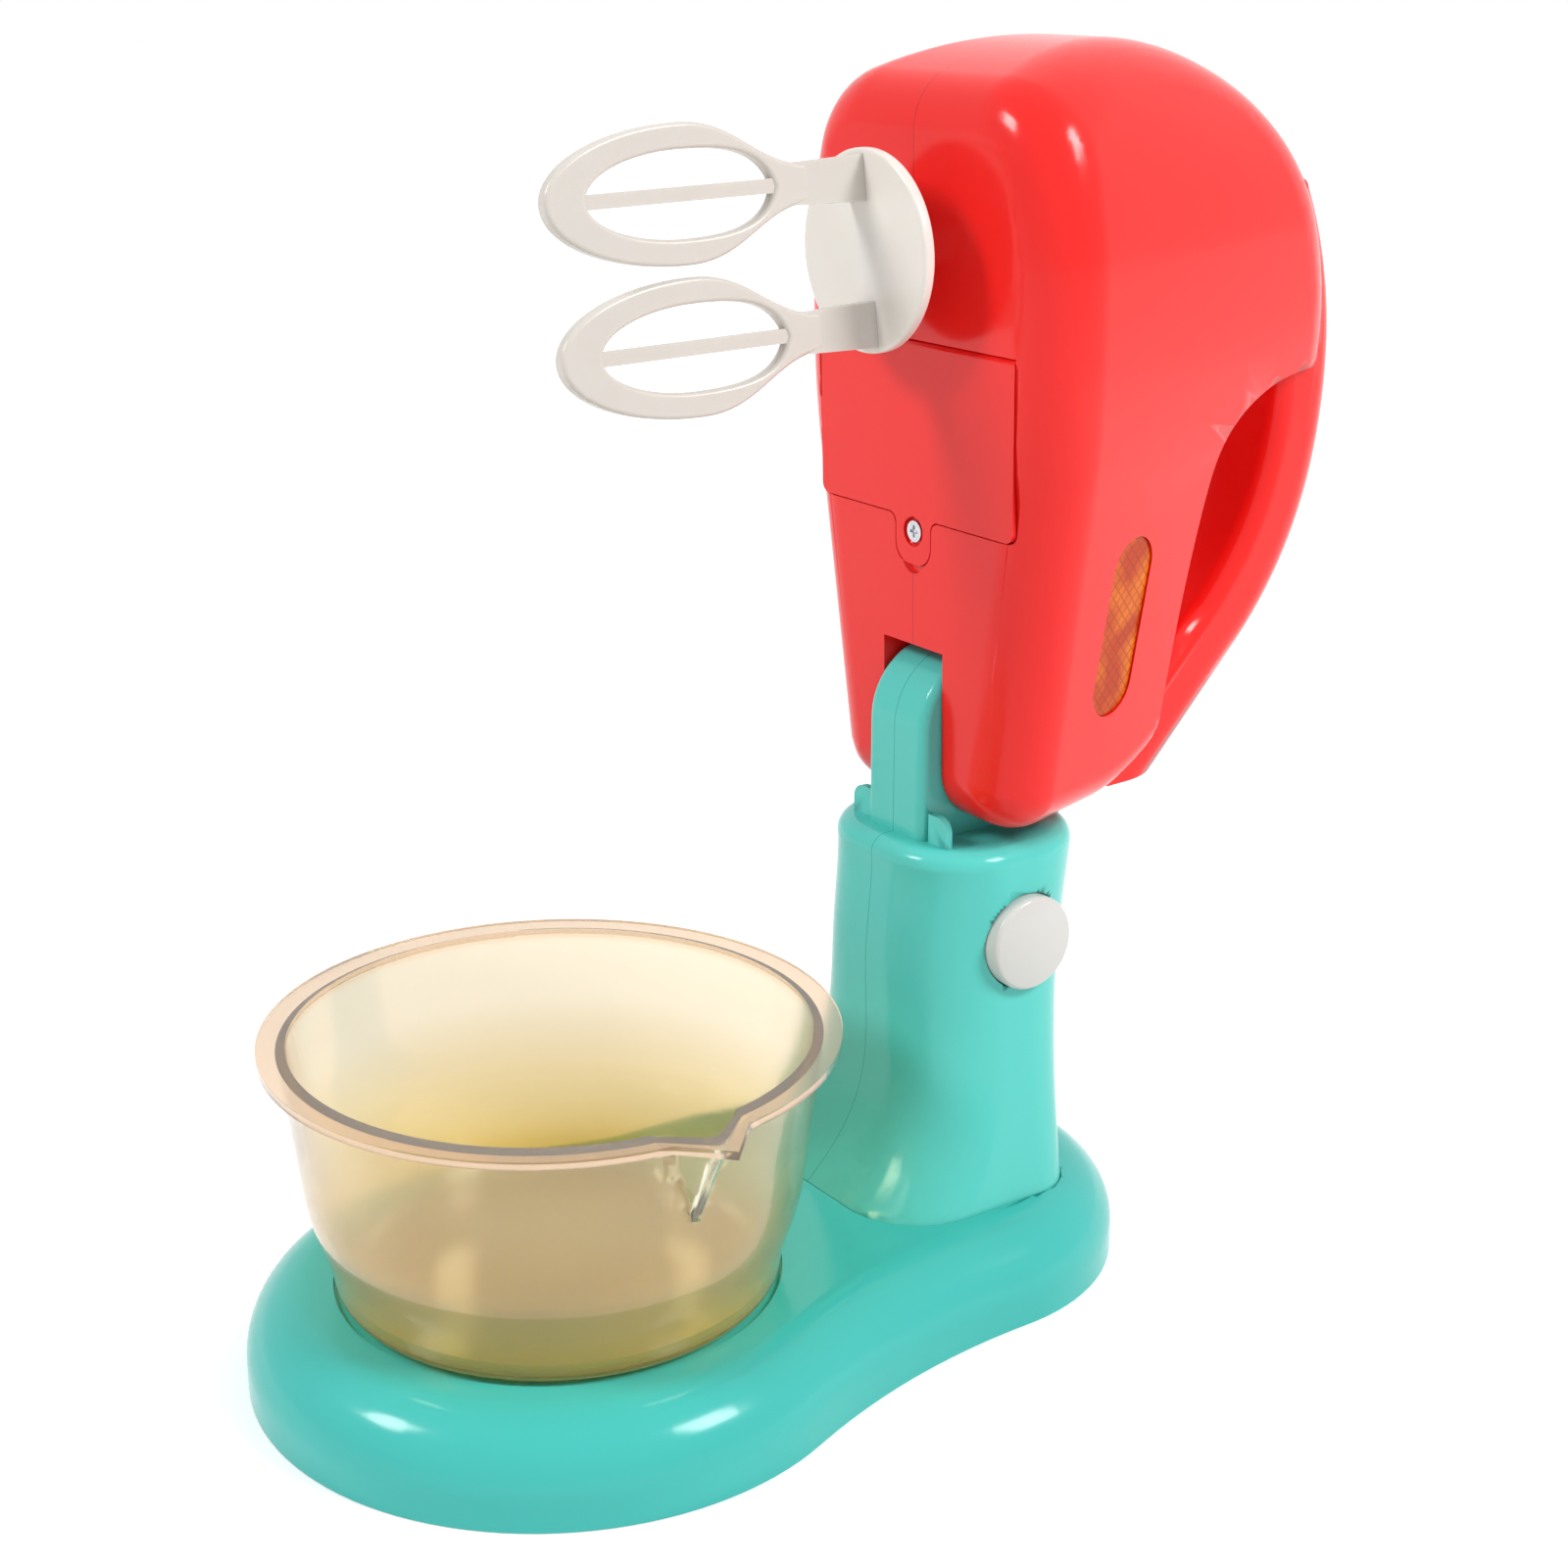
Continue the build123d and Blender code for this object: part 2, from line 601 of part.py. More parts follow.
def head_form(inset=0.0):
    """Solid outer form of the head without its handle, or its hollow when inset by the wall."""
    face = HEAD_FACE + inset
    half = HEAD_HALF - inset
    arcs = back_arcs(inset)
    back, crest, crown = arcs
    sole_centre = (SOLE_H, SOLE_S + SOLE_R)
    sole_r = SOLE_R - inset
    opening = [(h - inset, s) for h, s in OPENING[:-1]] + [(OPENING[-1][0] - inset, OPENING[-1][1] + inset)]
    with BuildPart() as form:
        with BuildSketch(flank(half)):
            with BuildLine():
                stub = CenterArc(back[:2], back[2], -BACK_STUB, BACK_STUB)
                CenterArc(crest[:2], crest[2], 0, CREST_TURN)
                crown_turn = degrees(acos((face - crown[0]) / crown[2])) - CREST_TURN
                top = CenterArc(crown[:2], crown[2], CREST_TURN, crown_turn)
                low = (opening[0][0], SOLE_S - SOLE_R)
                edge = Spline(low, *opening[1:], stub @ 0, tangents=[(0.08, 1), (1, 0)])
                Polyline(low, (face, low[1]), top @ 1)
            make_face()
        extrude(amount=2 * half)
        with BuildSketch(flank(half)) as below:
            with BuildLine():
                sole = CenterArc(sole_centre, sole_r, -90, SOLE_ARC)
                corner = (sole @ 1) + Vector(30, -40)
                Polyline(sole @ 1, corner, (face - 5, corner.Y - 20), (face - 5, (sole @ 0).Y), sole @ 0)
            make_face()
        extrude(to_extrude=below.sketch, amount=2 * half, mode=Mode.SUBTRACT)
        with BuildSketch(front(HEAD_FACE)) as outline:
            with BuildLine():
                low_half = half - WAIST_SLOPE * (WAIST_S + 40)
                turn = radians(SHOULDER_TURN)
                shoulder = SHOULDER_S - inset * tan(turn / 2)
                apex = shoulder + half / tan(turn)
                Polyline((-low_half, -40), (low_half, -40), (half, WAIST_S), (half, shoulder), (0, apex),
                         (-half, shoulder), (-half, WAIST_S), close=True)
            make_face()
            fillet(outline.vertices().group_by(Axis.Y)[1], WAIST_ROUND - inset)
            fillet(outline.vertices().group_by(Axis.Y)[-2], SHOULDER_R - inset)
        extrude(to_extrude=outline.sketch, amount=130, taper=HEAD_DRAFT, mode=Mode.INTERSECT)

        def lies_on(edge, h, s, r):
            points = [HEAD.to_local_coords(edge @ t) for t in (0.0, 0.5, 1.0)]
            return all(abs(hypot(p.X - h, p.Y - s) - r) < 0.05 for p in points)

        def off_seam(edge):
            middle = HEAD.to_local_coords(edge @ 0.5)
            return abs(middle.Z) > 1 and middle.X > face + 0.05

        def sole_edge(edge):
            points = [HEAD.to_local_coords(edge @ t) for t in (0.0, 0.5, 1.0)]
            flat = all(abs(p.Y - (SOLE_S + inset)) < 0.05 for p in points)
            return flat or lies_on(edge, *sole_centre, sole_r)

        rim = [in_head(e) for e in form.edges() if off_seam(e) and any(lies_on(e, *arc) for arc in arcs)]
        base = [in_head(e) for e in form.edges() if off_seam(e) and sole_edge(e)]
        for centres, radius in ((base, SOLE_ROUND - inset), (rim, RIM_ROUND - inset)):
            chain = [min(form.edges(), key=lambda e: (in_head(e) - c).length) for c in centres]
            fillet(chain, radius)
        flat = form.faces().filter_by(GeomType.PLANE).sort_by(lambda f: abs(in_head(f).X - face))[0]
        fillet(flat.edges(), FACE_ROUND - inset)
    return form.part


def grip_form(inset=0.0):
    """Solid outer form of the handle bar, or its hollow when inset by the wall."""
    with BuildPart() as form:
        with BuildLine(HEAD) as path:
            point, heading = GRIP_TOP, (sin(radians(GRIP_START)), -cos(radians(GRIP_START)))
            for radius, turn in GRIP_BENDS:
                bend = JernArc(point, heading, radius, -turn)
                point, heading = bend @ 1, bend % 1
            PolarLine(point, GRIP_RUN, direction=heading)
        with BuildSketch(Plane(origin=path.line @ 0, x_dir=(0, 1, 0), z_dir=path.line % 0)) as section:
            Rectangle(2 * (GRIP_HALF - inset), GRIP_DEPTH - 2 * inset)
            fillet(section.vertices().group_by(Axis.Y)[-1], GRIP_ROUND - inset)
            fillet(section.vertices().group_by(Axis.Y)[0], GRIP_INNER_ROUND - inset)
        sweep(path=path.line)
        split(bisect_by=Plane(origin=HEAD.from_local_coords(Vector(0, GRIP_SOLE + inset, 0)), z_dir=UP))
    return form.part


# ---------------------------------------------------------------- head halves
WALL_FACE = HEAD_FACE + HEAD_WALL          # inner face of the underside wall


def door_outline(grow=0.0):
    """Outline of the battery door in front(HEAD_FACE), with its screw tab; x is +Y, y is s."""
    low, high, half = DOOR_LOW - grow, DOOR_HIGH + grow, DOOR_HALF + grow
    with BuildSketch() as outline:
        with BuildLine():
            Polyline((-half, high), (-half, low), (-TAB_HALF - grow, low), (-TAB_HALF - grow, TAB_LOW - grow),
                     (TAB_HALF + grow, TAB_LOW - grow), (TAB_HALF + grow, low), (half, low), (half, high),
                     close=True)
        make_face()
        tab_ends = outline.vertices().group_by(Axis.Y)[0]
        fillet(tab_ends, TAB_CORNER)
        inner = [v for v in outline.vertices().filter_by_position(Axis.Y, low - 0.01, low + 0.01)]
        fillet(inner, DOOR_CORNER)
    return outline.sketch


def lens_outline(grow=0.0):
    """Stadium of the side lens in the side view."""
    with BuildSketch() as outline:
        with BuildLine():
            Line(LENS_LOW, LENS_TOP)
        middle = ((LENS_LOW[0] + LENS_TOP[0]) / 2, (LENS_LOW[1] + LENS_TOP[1]) / 2)
        rise = (LENS_TOP[0] - LENS_LOW[0], LENS_TOP[1] - LENS_LOW[1])
        with Locations(Location((*middle, 0), (0, 0, degrees(atan2(rise[1], rise[0]))))):
            SlotOverall(hypot(*rise) + 2 * (LENS_R + grow), 2 * (LENS_R + grow))
    return outline.sketch


SWITCH_BACK = POWER_SEAT + POWER_FLANGE + POWER_STROKE + SWITCH_NUB + 0.1 + SWITCH_SIZE[0]
head_outer = head_form()
head_inner = head_form(HEAD_WALL)

with BuildPart() as head_fittings:
    # cheeks of the tongue's slot, pin bosses, screw bosses and the ribs that carry inner pieces
    with BuildSketch(flank(SLOT_HALF + CHEEK)):
        with Locations((HEAD_FACE, SLOT_TOP + CHEEK)):
            Rectangle(SLOT_BACK + CHEEK - HEAD_FACE, 60, align=(Align.MIN, Align.MAX))
    extrude(amount=2 * (SLOT_HALF + CHEEK))
    with BuildSketch(flank(CHEEK_BOSS + 1)):
        Circle(CHEEK_BOSS_R)
    extrude(amount=2 * CHEEK_BOSS + 2)
    with BuildSketch(flank(HEAD_HALF)):
        with Locations(*HEAD_SCREWS[:4]):
            Circle(HEAD_BOSS_R)
    extrude(amount=2 * HEAD_HALF)
    for side in (1, -1):
        with BuildSketch(flank(side * HEAD_HALF if side > 0 else -GEARBOX_HALF - FIT_GAP)):
            with Locations((PLATE_FRONT[0] - 2, SPINDLE_S + 4)):
                Rectangle(PLATE_REAR[1] - PLATE_FRONT[0] + 4, 2.0, align=(Align.MIN, Align.CENTER))
        extrude(amount=HEAD_HALF - GEARBOX_HALF - FIT_GAP)
    with BuildSketch(power_at(SWITCH_BACK + SWITCH_RIB)):
        with Locations((0, SWITCH_SIZE[2] / 2)):
            Rectangle(2 * HEAD_HALF, 26.0, align=(Align.CENTER, Align.MAX))
    extrude(amount=SWITCH_RIB)
    add(head_outer, mode=Mode.INTERSECT)

with BuildPart() as grip_bosses:
    with BuildSketch(flank(GRIP_HALF)):
        with Locations(*HEAD_SCREWS[4:]):
            Circle(HEAD_BOSS_R)
    extrude(amount=2 * GRIP_HALF)
    add(grip_form(), mode=Mode.INTERSECT)

with BuildPart() as head_hollow:
    add(head_inner)
    add(grip_form(HEAD_WALL))

with BuildPart() as head:
    add(head_outer)
    add(grip_form())
    add(head_hollow.part, mode=Mode.SUBTRACT)
    add(head_fittings.part)
    add(grip_bosses.part)
    # slot for the tongue
    with BuildSketch(flank(SLOT_HALF)):
        with Locations((HEAD_FACE - 1, SLOT_TOP)):
            Rectangle(SLOT_BACK - HEAD_FACE + 1, 60, align=(Align.MIN, Align.MAX))
    extrude(amount=2 * SLOT_HALF, mode=Mode.SUBTRACT)
    with BuildSketch(flank(CHEEK_BOSS)):
        Circle(PIN_R + RUN_GAP)
    extrude(amount=2 * CHEEK_BOSS, mode=Mode.SUBTRACT)
    # door opening and the thumb notch below its tab
    with BuildSketch(front(HEAD_FACE - 1)):
        add(door_outline(FIT_GAP))
    extrude(amount=HEAD_WALL + 1.1, mode=Mode.SUBTRACT)
    with BuildSketch(front(HEAD_FACE - 1)):
        with Locations((0, TAB_LOW + 1.6)):
            Circle(3.4)
    extrude(amount=HEAD_WALL, mode=Mode.SUBTRACT)
    # spindle bush
    with BuildSketch(front(HEAD_FACE - 1)):
        with Locations((0, SPINDLE_S)):
            Circle(BUSH_R + SEAT_GAP)
    extrude(amount=HEAD_WALL + 2, mode=Mode.SUBTRACT)
    # lens openings
    with BuildSketch(flank(HEAD_HALF + 1)):
        add(lens_outline(FIT_GAP / 2))
    extrude(amount=HEAD_HALF - CHEEK_BOSS - 3, mode=Mode.SUBTRACT)
    with BuildSketch(flank(-CHEEK_BOSS - 4)):
        add(lens_outline(FIT_GAP / 2))
    extrude(amount=HEAD_HALF - CHEEK_BOSS - 3, mode=Mode.SUBTRACT)
    # power button opening at the ridge
    with BuildSketch(power_at(POWER_SEAT + 0.5)):
        RectangleRounded(2 * (POWER_HALF[0] + FIT_GAP), 2 * (POWER_HALF[1] + FIT_GAP), 2.0 + FIT_GAP)
    extrude(amount=8, mode=Mode.SUBTRACT)

with BuildPart() as head_left:
    add(head.part)
    split(bisect_by=Plane.XZ, keep=Keep.BOTTOM)
    with BuildSketch(flank(HEAD_HALF)):
        with Locations(*HEAD_SCREWS):
            Circle(SCREW_WELL_R - 0.3)
    extrude(amount=HEAD_HALF - HEAD_WELL_Y, mode=Mode.SUBTRACT)
    with BuildSketch(flank(HEAD_HALF)):
        with Locations(*HEAD_SCREWS):
            Circle(SCREW_CLEAR_R)
    extrude(amount=HEAD_HALF, mode=Mode.SUBTRACT)
head_left.part.label = "head_left"

with BuildPart() as head_right:
    add(head.part)
    split(bisect_by=Plane.XZ, keep=Keep.TOP)
    with BuildSketch(flank(0)):
        with Locations(*HEAD_SCREWS):
            Circle(SCREW_PILOT_R)
    extrude(amount=11.0, mode=Mode.SUBTRACT)
head_right.part.label = "head_right"

with BuildPart() as head_screws:
    with BuildSketch(flank(HEAD_WELL_Y + SCREW_HEAD_T + SEAT_GAP)):
        with Locations(*HEAD_SCREWS):
            Circle(SCREW_HEAD_R - 0.2)
    extrude(amount=SCREW_HEAD_T)
    with BuildSketch(flank(HEAD_WELL_Y + SCREW_HEAD_T)):
        with Locations(*HEAD_SCREWS):
            Circle(SCREW_R)
    extrude(amount=16.0)
head_screws.part.label = "head_screws"

# ---------------------------------------------------------------- lenses
lens_space_outer = head_form(LENS_SINK)
lens_space_inner = head_form(LENS_SINK + LENS_T)
lip_space_outer = head_form(HEAD_WALL + SEAT_GAP)
lip_space_inner = head_form(HEAD_WALL + SEAT_GAP + 1.0)


def lens_piece(low_y, high_y):
    """Lens between two y values: a plate that follows the side wall, with a lip behind the wall."""
    with BuildPart() as plate:
        with BuildSketch(flank(high_y)):
            add(lens_outline())
        extrude(amount=high_y - low_y)
        add(lens_space_outer, mode=Mode.INTERSECT)
        add(lens_space_inner, mode=Mode.SUBTRACT)
    with BuildPart() as lip:
        with BuildSketch(flank(high_y)):
            add(lens_outline(LENS_LIP))
        extrude(amount=high_y - low_y)
        add(lip_space_outer, mode=Mode.INTERSECT)
        add(lip_space_inner, mode=Mode.SUBTRACT)
    with BuildPart() as lens:
        add(plate.part)
        add(lip.part)
    return lens.part


with BuildPart() as lens_left:
    add(lens_piece(CHEEK_BOSS + 2, HEAD_HALF))
lens_left.part.label = "lens_left"

with BuildPart() as lens_right:
    add(lens_piece(-HEAD_HALF, -CHEEK_BOSS - 2))
lens_right.part.label = "lens_right"

# ---------------------------------------------------------------- battery compartment
DOOR_BACK = HEAD_FACE + DOOR_T

with BuildPart() as battery_door:
    with BuildSketch(front(HEAD_FACE)):
        add(door_outline())
    extrude(amount=DOOR_T)
    top_edges = battery_door.faces().sort_by(lambda f: -in_head(f).Y)[0].edges().filter_by(Axis.Y)
    fillet(top_edges, DOOR_T / 2 - 0.01)
    for side in (1, -1):
        with BuildSketch(flank(side * LUG_Y + LUG_W / 2)):
            with BuildLine():
                Polyline((DOOR_BACK - 0.3, 72.0), (DOOR_BACK + 1.5, 72.0), (DOOR_BACK + 1.5, 79.0),
                         (WALL_FACE + 0.25, 79.0), (WALL_FACE + 0.25, 74.6), (DOOR_BACK - 0.3, 74.6), close=True)
            make_face()
        extrude(amount=LUG_W)
    with BuildSketch(front(HEAD_FACE)):
        with Locations((0, DOOR_SCREW_S)):
            Circle(DOOR_SCREW_WELL_R)
    extrude(amount=DOOR_T - 0.7, mode=Mode.SUBTRACT)
    with BuildSketch(front(HEAD_FACE)):
        with Locations((0, DOOR_SCREW_S)):
            Circle(SCREW_CLEAR_R)
    extrude(amount=DOOR_T + 1, mode=Mode.SUBTRACT)
battery_door.part.label = "battery_door"

with BuildPart() as door_screw:
    with BuildSketch(front(HEAD_FACE + 0.2)):
        with Locations((0, DOOR_SCREW_S)):
            Circle(2.1)
    extrude(amount=DOOR_T - 0.9 - SEAT_GAP)
    with BuildSketch(front(HEAD_FACE + 0.2)):
        with Locations((0, DOOR_SCREW_S)):
            Rectangle(2.4, 0.6)
            Rectangle(0.6, 2.4)
    extrude(amount=0.5, mode=Mode.SUBTRACT)
    with BuildSketch(front(HEAD_FACE + 0.8)):
        with Locations((0, DOOR_SCREW_S)):
            Circle(SCREW_R)
    extrude(amount=DOOR_T + 1.4)
door_screw.part.label = "door_screw"

TRAY_FRONT = WALL_FACE + SEAT_GAP
CELL_END = CELL_LENGTH / 2
TRAY_END = CELL_END + CELL_NUB + CONTACT_T + 2 * SEAT_GAP + TRAY_WALL
TRAY_LOW = CELL_S[0] - CELL_R - TRAY_WALL - 0.2
TRAY_HIGH = CELL_S[1] + CELL_R + TRAY_WALL + 0.2

with BuildPart() as battery_tray:
    with BuildSketch(front(TRAY_FRONT)):
        with Locations((0, (TRAY_LOW + TRAY_HIGH) / 2)):
            Rectangle(2 * TRAY_END, TRAY_HIGH - TRAY_LOW)
    extrude(amount=TRAY_BACK - TRAY_FRONT)
    with BuildSketch(front(TRAY_FRONT)):
        with Locations((0, DOOR_LOW - 3.0)):
            Rectangle(2 * (DOOR_HALF + 2), TRAY_HIGH + 3.4 - DOOR_LOW + 3.0, align=(Align.CENTER, Align.MIN))
        with Locations((0, DOOR_SCREW_S)):
            Circle(TAB_HALF + 1.5)
    extrude(amount=FLANGE_T)
    with BuildSketch(front(TRAY_FRONT)):
        with Locations((0, DOOR_SCREW_S)):
            Circle(BOSS_R)
    extrude(amount=7.0)
    with BuildSketch(flank(TRAY_END - TRAY_WALL)):
        with Locations(*[(CELL_H, s) for s in CELL_S]):
            Circle(CELL_R + 0.2)
    extrude(amount=2 * (TRAY_END - TRAY_WALL), mode=Mode.SUBTRACT)
    with BuildSketch(front(TRAY_FRONT)):
        with Locations((0, (CELL_S[0] + CELL_S[1]) / 2)):
            Rectangle(2 * (TRAY_END - TRAY_WALL), CELL_S[1] - CELL_S[0] + 2 * CELL_R + 0.4)
    extrude(amount=CELL_H - TRAY_FRONT, mode=Mode.SUBTRACT)
    with BuildSketch(flank(TRAY_END - TRAY_WALL)):
        with Locations((CELL_H, (CELL_S[0] + CELL_S[1]) / 2)):
            RectangleRounded(9.4, CELL_S[1] - CELL_S[0] + 9.4, 1.5)
    extrude(amount=2 * (TRAY_END - TRAY_WALL), mode=Mode.SUBTRACT)
    for side in (1, -1):
        with BuildSketch(flank(side * LUG_Y + LUG_W / 2 + 0.5)):
            with Locations((TRAY_FRONT - 1, 71.0)):
                Rectangle(5.6, 12.0, align=(Align.MIN, Align.MIN))
        extrude(amount=LUG_W + 1.0, mode=Mode.SUBTRACT)
    with BuildSketch(front(TRAY_FRONT - 1)):
        with Locations((0, DOOR_SCREW_S)):
            Circle(SCREW_R + 0.5)
    extrude(amount=6.0, mode=Mode.SUBTRACT)
    add(lip_space_outer, mode=Mode.INTERSECT)
battery_tray.part.label = "battery_tray"


def cell(s, nub_side):
    """AA cell lying along Y at height s, with its nub towards +Y or -Y."""
    with BuildPart() as piece:
        with BuildSketch(flank(CELL_END)):
            with Locations((CELL_H, s)):
                Circle(CELL_R)
        extrude(amount=CELL_LENGTH)
        chamfer(piece.faces().filter_by(Axis.Y).edges(), 0.4)
        with BuildSketch(flank(CELL_END + CELL_NUB if nub_side > 0 else -CELL_END)):
            with Locations((CELL_H, s)):
                Circle(CELL_NUB_R)
        extrude(amount=CELL_NUB)
    return piece.part


with BuildPart() as battery_lower:
    add(cell(CELL_S[0], 1))
battery_lower.part.label = "battery_lower"

with BuildPart() as battery_upper:
    add(cell(CELL_S[1], -1))
battery_upper.part.label = "battery_upper"


def contact_plate(inner_y):
    """Contact strip at one end of both cells; inner_y is its face of higher y."""
    with BuildPart() as strip:
        with BuildSketch(flank(inner_y)):
            with Locations((CELL_H, (CELL_S[0] + CELL_S[1]) / 2)):
                RectangleRounded(9.0, CELL_S[1] - CELL_S[0] + 9.0, 1.5)
        extrude(amount=CONTACT_T)
    return strip.part


with BuildPart() as contact_left:
    add(contact_plate(CELL_END + CELL_NUB + SEAT_GAP + CONTACT_T))
contact_left.part.label = "contact_left"

with BuildPart() as contact_right:
    add(contact_plate(-CELL_END - CELL_NUB - SEAT_GAP))
contact_right.part.label = "contact_right"

# ---------------------------------------------------------------- power button and switch
with BuildPart() as power_button:
    with BuildSketch(power_at(POWER_SEAT + POWER_FLANGE)):
        RectangleRounded(2 * POWER_HALF[0] + 3, 2 * POWER_HALF[1] + 3, 3.0)
    extrude(amount=POWER_FLANGE)
    with BuildSketch(power_at(POWER_SEAT + POWER_FLANGE)):
        RectangleRounded(2 * POWER_HALF[0], 2 * POWER_HALF[1], 2.0)
    extrude(amount=POWER_SEAT + POWER_FLANGE + POWER_PROUD)
    fillet(power_button.faces().sort_by(Axis.X)[-1].edges(), 0.5)
power_button.part.label = "power_button"

with BuildPart() as power_switch:
    with BuildSketch(power_at(SWITCH_BACK - SEAT_GAP)):
        Rectangle(SWITCH_SIZE[1], SWITCH_SIZE[2])
    extrude(amount=SWITCH_SIZE[0])
    with BuildSketch(power_at(SWITCH_BACK - SWITCH_SIZE[0])):
        with Locations((0, 2.0)):
            Rectangle(2.4, 2.4)
    extrude(amount=SWITCH_NUB)
power_switch.part.label = "power_switch"

# ---------------------------------------------------------------- drive
CENTRE_DISTANCE = MODULE * (WHEEL_TEETH + PINION_TEETH) / 2
IDLER_S = SPINDLE_S + CENTRE_DISTANCE


def gear_outline(teeth, turned=0.0):
    """Closed involute outline of a gear with 20 degree teeth; turned shifts it, in degrees."""
    pitch_r = MODULE * teeth / 2
    base_r = pitch_r * cos(radians(20))
    tip_r = pitch_r + TOOTH_DEPTH[0] * MODULE
    root_r = pitch_r - TOOTH_DEPTH[1] * MODULE
    half_tooth = pi / (2 * teeth) - BACKLASH / (2 * pitch_r)

    def flank_angle(r):
        def involute(radius):
            pressure = acos(min(1.0, base_r / radius))
            return tan(pressure) - pressure
        return half_tooth + involute(pitch_r) - involute(max(r, base_r))

    radii = [root_r, max(root_r + 0.05, base_r), (max(root_r + 0.05, base_r) + tip_r) / 2, tip_r]
    points = []
    for tooth in range(teeth):
        middle = 2 * pi * tooth / teeth + radians(turned)
        rising = [(r, middle - flank_angle(r)) for r in radii]
        falling = [(r, middle + flank_angle(r)) for r in reversed(radii)]
        points += [(r * cos(a), r * sin(a)) for r, a in rising + falling]
    with BuildSketch() as outline:
        with BuildLine():
            Polyline(*points, close=True)
        make_face()
    return outline.sketch


def gear_between(depths, s, teeth, turned=0.0):
    """Gear blank between two depths, on the axis at height s."""
    with BuildPart() as wheel:
        with BuildSketch(front(depths[0])):
            with Locations((0, s)):
                add(gear_outline(teeth, turned))
        extrude(amount=depths[1] - depths[0])
    return wheel.part


# a tooth of the upper gear of each pair meets a gap of the lower one on the line of centres
SPINDLE_PHASE = 90.0
PINION_PHASE = -90.0 + 180.0 / PINION_TEETH
IDLER_WHEEL_PHASE = -90.0
MOTOR_PHASE = 90.0 + 180.0 / PINION_TEETH

with BuildPart() as spindle_gear:
    add(gear_between(FRONT_GEARS, SPINDLE_S, WHEEL_TEETH, SPINDLE_PHASE))
    with BuildSketch(front(FRONT_GEARS[0] - 1.6)):
        with Locations((0, SPINDLE_S)):
            Circle(SPINDLE_R + 2.2)
    extrude(amount=2.0)
    with BuildSketch(front(FRONT_GEARS[0] - 2)):
        with Locations((0, SPINDLE_S)):
            Circle(SPINDLE_R + 0.02)
    extrude(amount=20, mode=Mode.SUBTRACT)
spindle_gear.part.label = "spindle_gear"

with BuildPart() as idler_gear:
    add(gear_between((FRONT_GEARS[0], REAR_GEARS[0] + 0.5), IDLER_S, PINION_TEETH, PINION_PHASE))
    add(gear_between(REAR_GEARS, IDLER_S, WHEEL_TEETH, IDLER_WHEEL_PHASE))
    with BuildSketch(front(PLATE_FRONT[1] + 0.2)):
        with Locations((0, IDLER_S)):
            Circle(AXLE_R + 1.2)
    extrude(amount=FRONT_GEARS[0] - PLATE_FRONT[1])
    with BuildSketch(front(PLATE_FRONT[0])):
        with Locations((0, IDLER_S)):
            Circle(AXLE_R + RUN_GAP)
    extrude(amount=20, mode=Mode.SUBTRACT)
idler_gear.part.label = "idler_gear"

with BuildPart() as motor_pinion:
    add(gear_between(REAR_GEARS, SPINDLE_S, PINION_TEETH, MOTOR_PHASE))
    with BuildSketch(front(REAR_GEARS[0] - 1)):
        with Locations((0, SPINDLE_S)):
            Circle(MOTOR_SHAFT_R + 0.02)
    extrude(amount=20, mode=Mode.SUBTRACT)
motor_pinion.part.label = "motor_pinion"

with BuildPart() as motor_shaft:
    with BuildSketch(front(REAR_GEARS[0] - 0.4)):
        with Locations((0, SPINDLE_S)):
            Circle(MOTOR_SHAFT_R)
    extrude(amount=PLATE_REAR[1] + 3.0 - REAR_GEARS[0])
motor_shaft.part.label = "motor_shaft"

with BuildPart() as motor:
    with BuildSketch(front(PLATE_REAR[1] + SEAT_GAP)):
        with Locations((0, SPINDLE_S)):
            Circle(MOTOR_R)
            Rectangle(2 * MOTOR_FLAT, 2 * MOTOR_R, mode=Mode.INTERSECT)
    extrude(amount=MOTOR_LENGTH)
    with BuildSketch(front(PLATE_REAR[1] + MOTOR_LENGTH)):
        with Locations((0, SPINDLE_S)):
            Circle(3.5)
    extrude(amount=1.6)
    with BuildSketch(front(PLATE_REAR[1])):
        with Locations((0, SPINDLE_S)):
            Circle(MOTOR_SHAFT_R + RUN_GAP)
    extrude(amount=4.0, mode=Mode.SUBTRACT)
motor.part.label = "motor"

POSTS = [(side * (GEARBOX_HALF - POST_R - 0.4), s) for side in (1, -1)
         for s in (GEARBOX_LOW + POST_R + 0.4, GEARBOX_HIGH - POST_R - 0.4)]


def gearbox_plate(depths):
    with BuildPart() as plate:
        with BuildSketch(front(depths[0])):
            with Locations((0, (GEARBOX_LOW + GEARBOX_HIGH) / 2)):
                RectangleRounded(2 * GEARBOX_HALF, GEARBOX_HIGH - GEARBOX_LOW, 3.0)
            with Locations((0, IDLER_S)):
                Circle(AXLE_R + 0.01, mode=Mode.SUBTRACT)
        extrude(amount=depths[1] - depths[0])
    return plate.part


with BuildPart() as gearbox_front:
    add(gearbox_plate(PLATE_FRONT))
    with BuildSketch(front(PLATE_FRONT[0] - 1)):
        with Locations((0, SPINDLE_S)):
            Circle(SPINDLE_R + RUN_GAP)
    extrude(amount=10, mode=Mode.SUBTRACT)
gearbox_front.part.label = "gearbox_front"

with BuildPart() as gearbox_rear:
    add(gearbox_plate(PLATE_REAR))
    with BuildSketch(front(PLATE_FRONT[1] + SEAT_GAP)):
        with Locations(*POSTS):
            Circle(POST_R)
    extrude(amount=PLATE_REAR[0] - PLATE_FRONT[1])
    with BuildSketch(front(PLATE_REAR[0] - 1)):
        with Locations((0, SPINDLE_S)):
            Circle(MOTOR_SHAFT_R + 0.4)
    extrude(amount=10, mode=Mode.SUBTRACT)
gearbox_rear.part.label = "gearbox_rear"

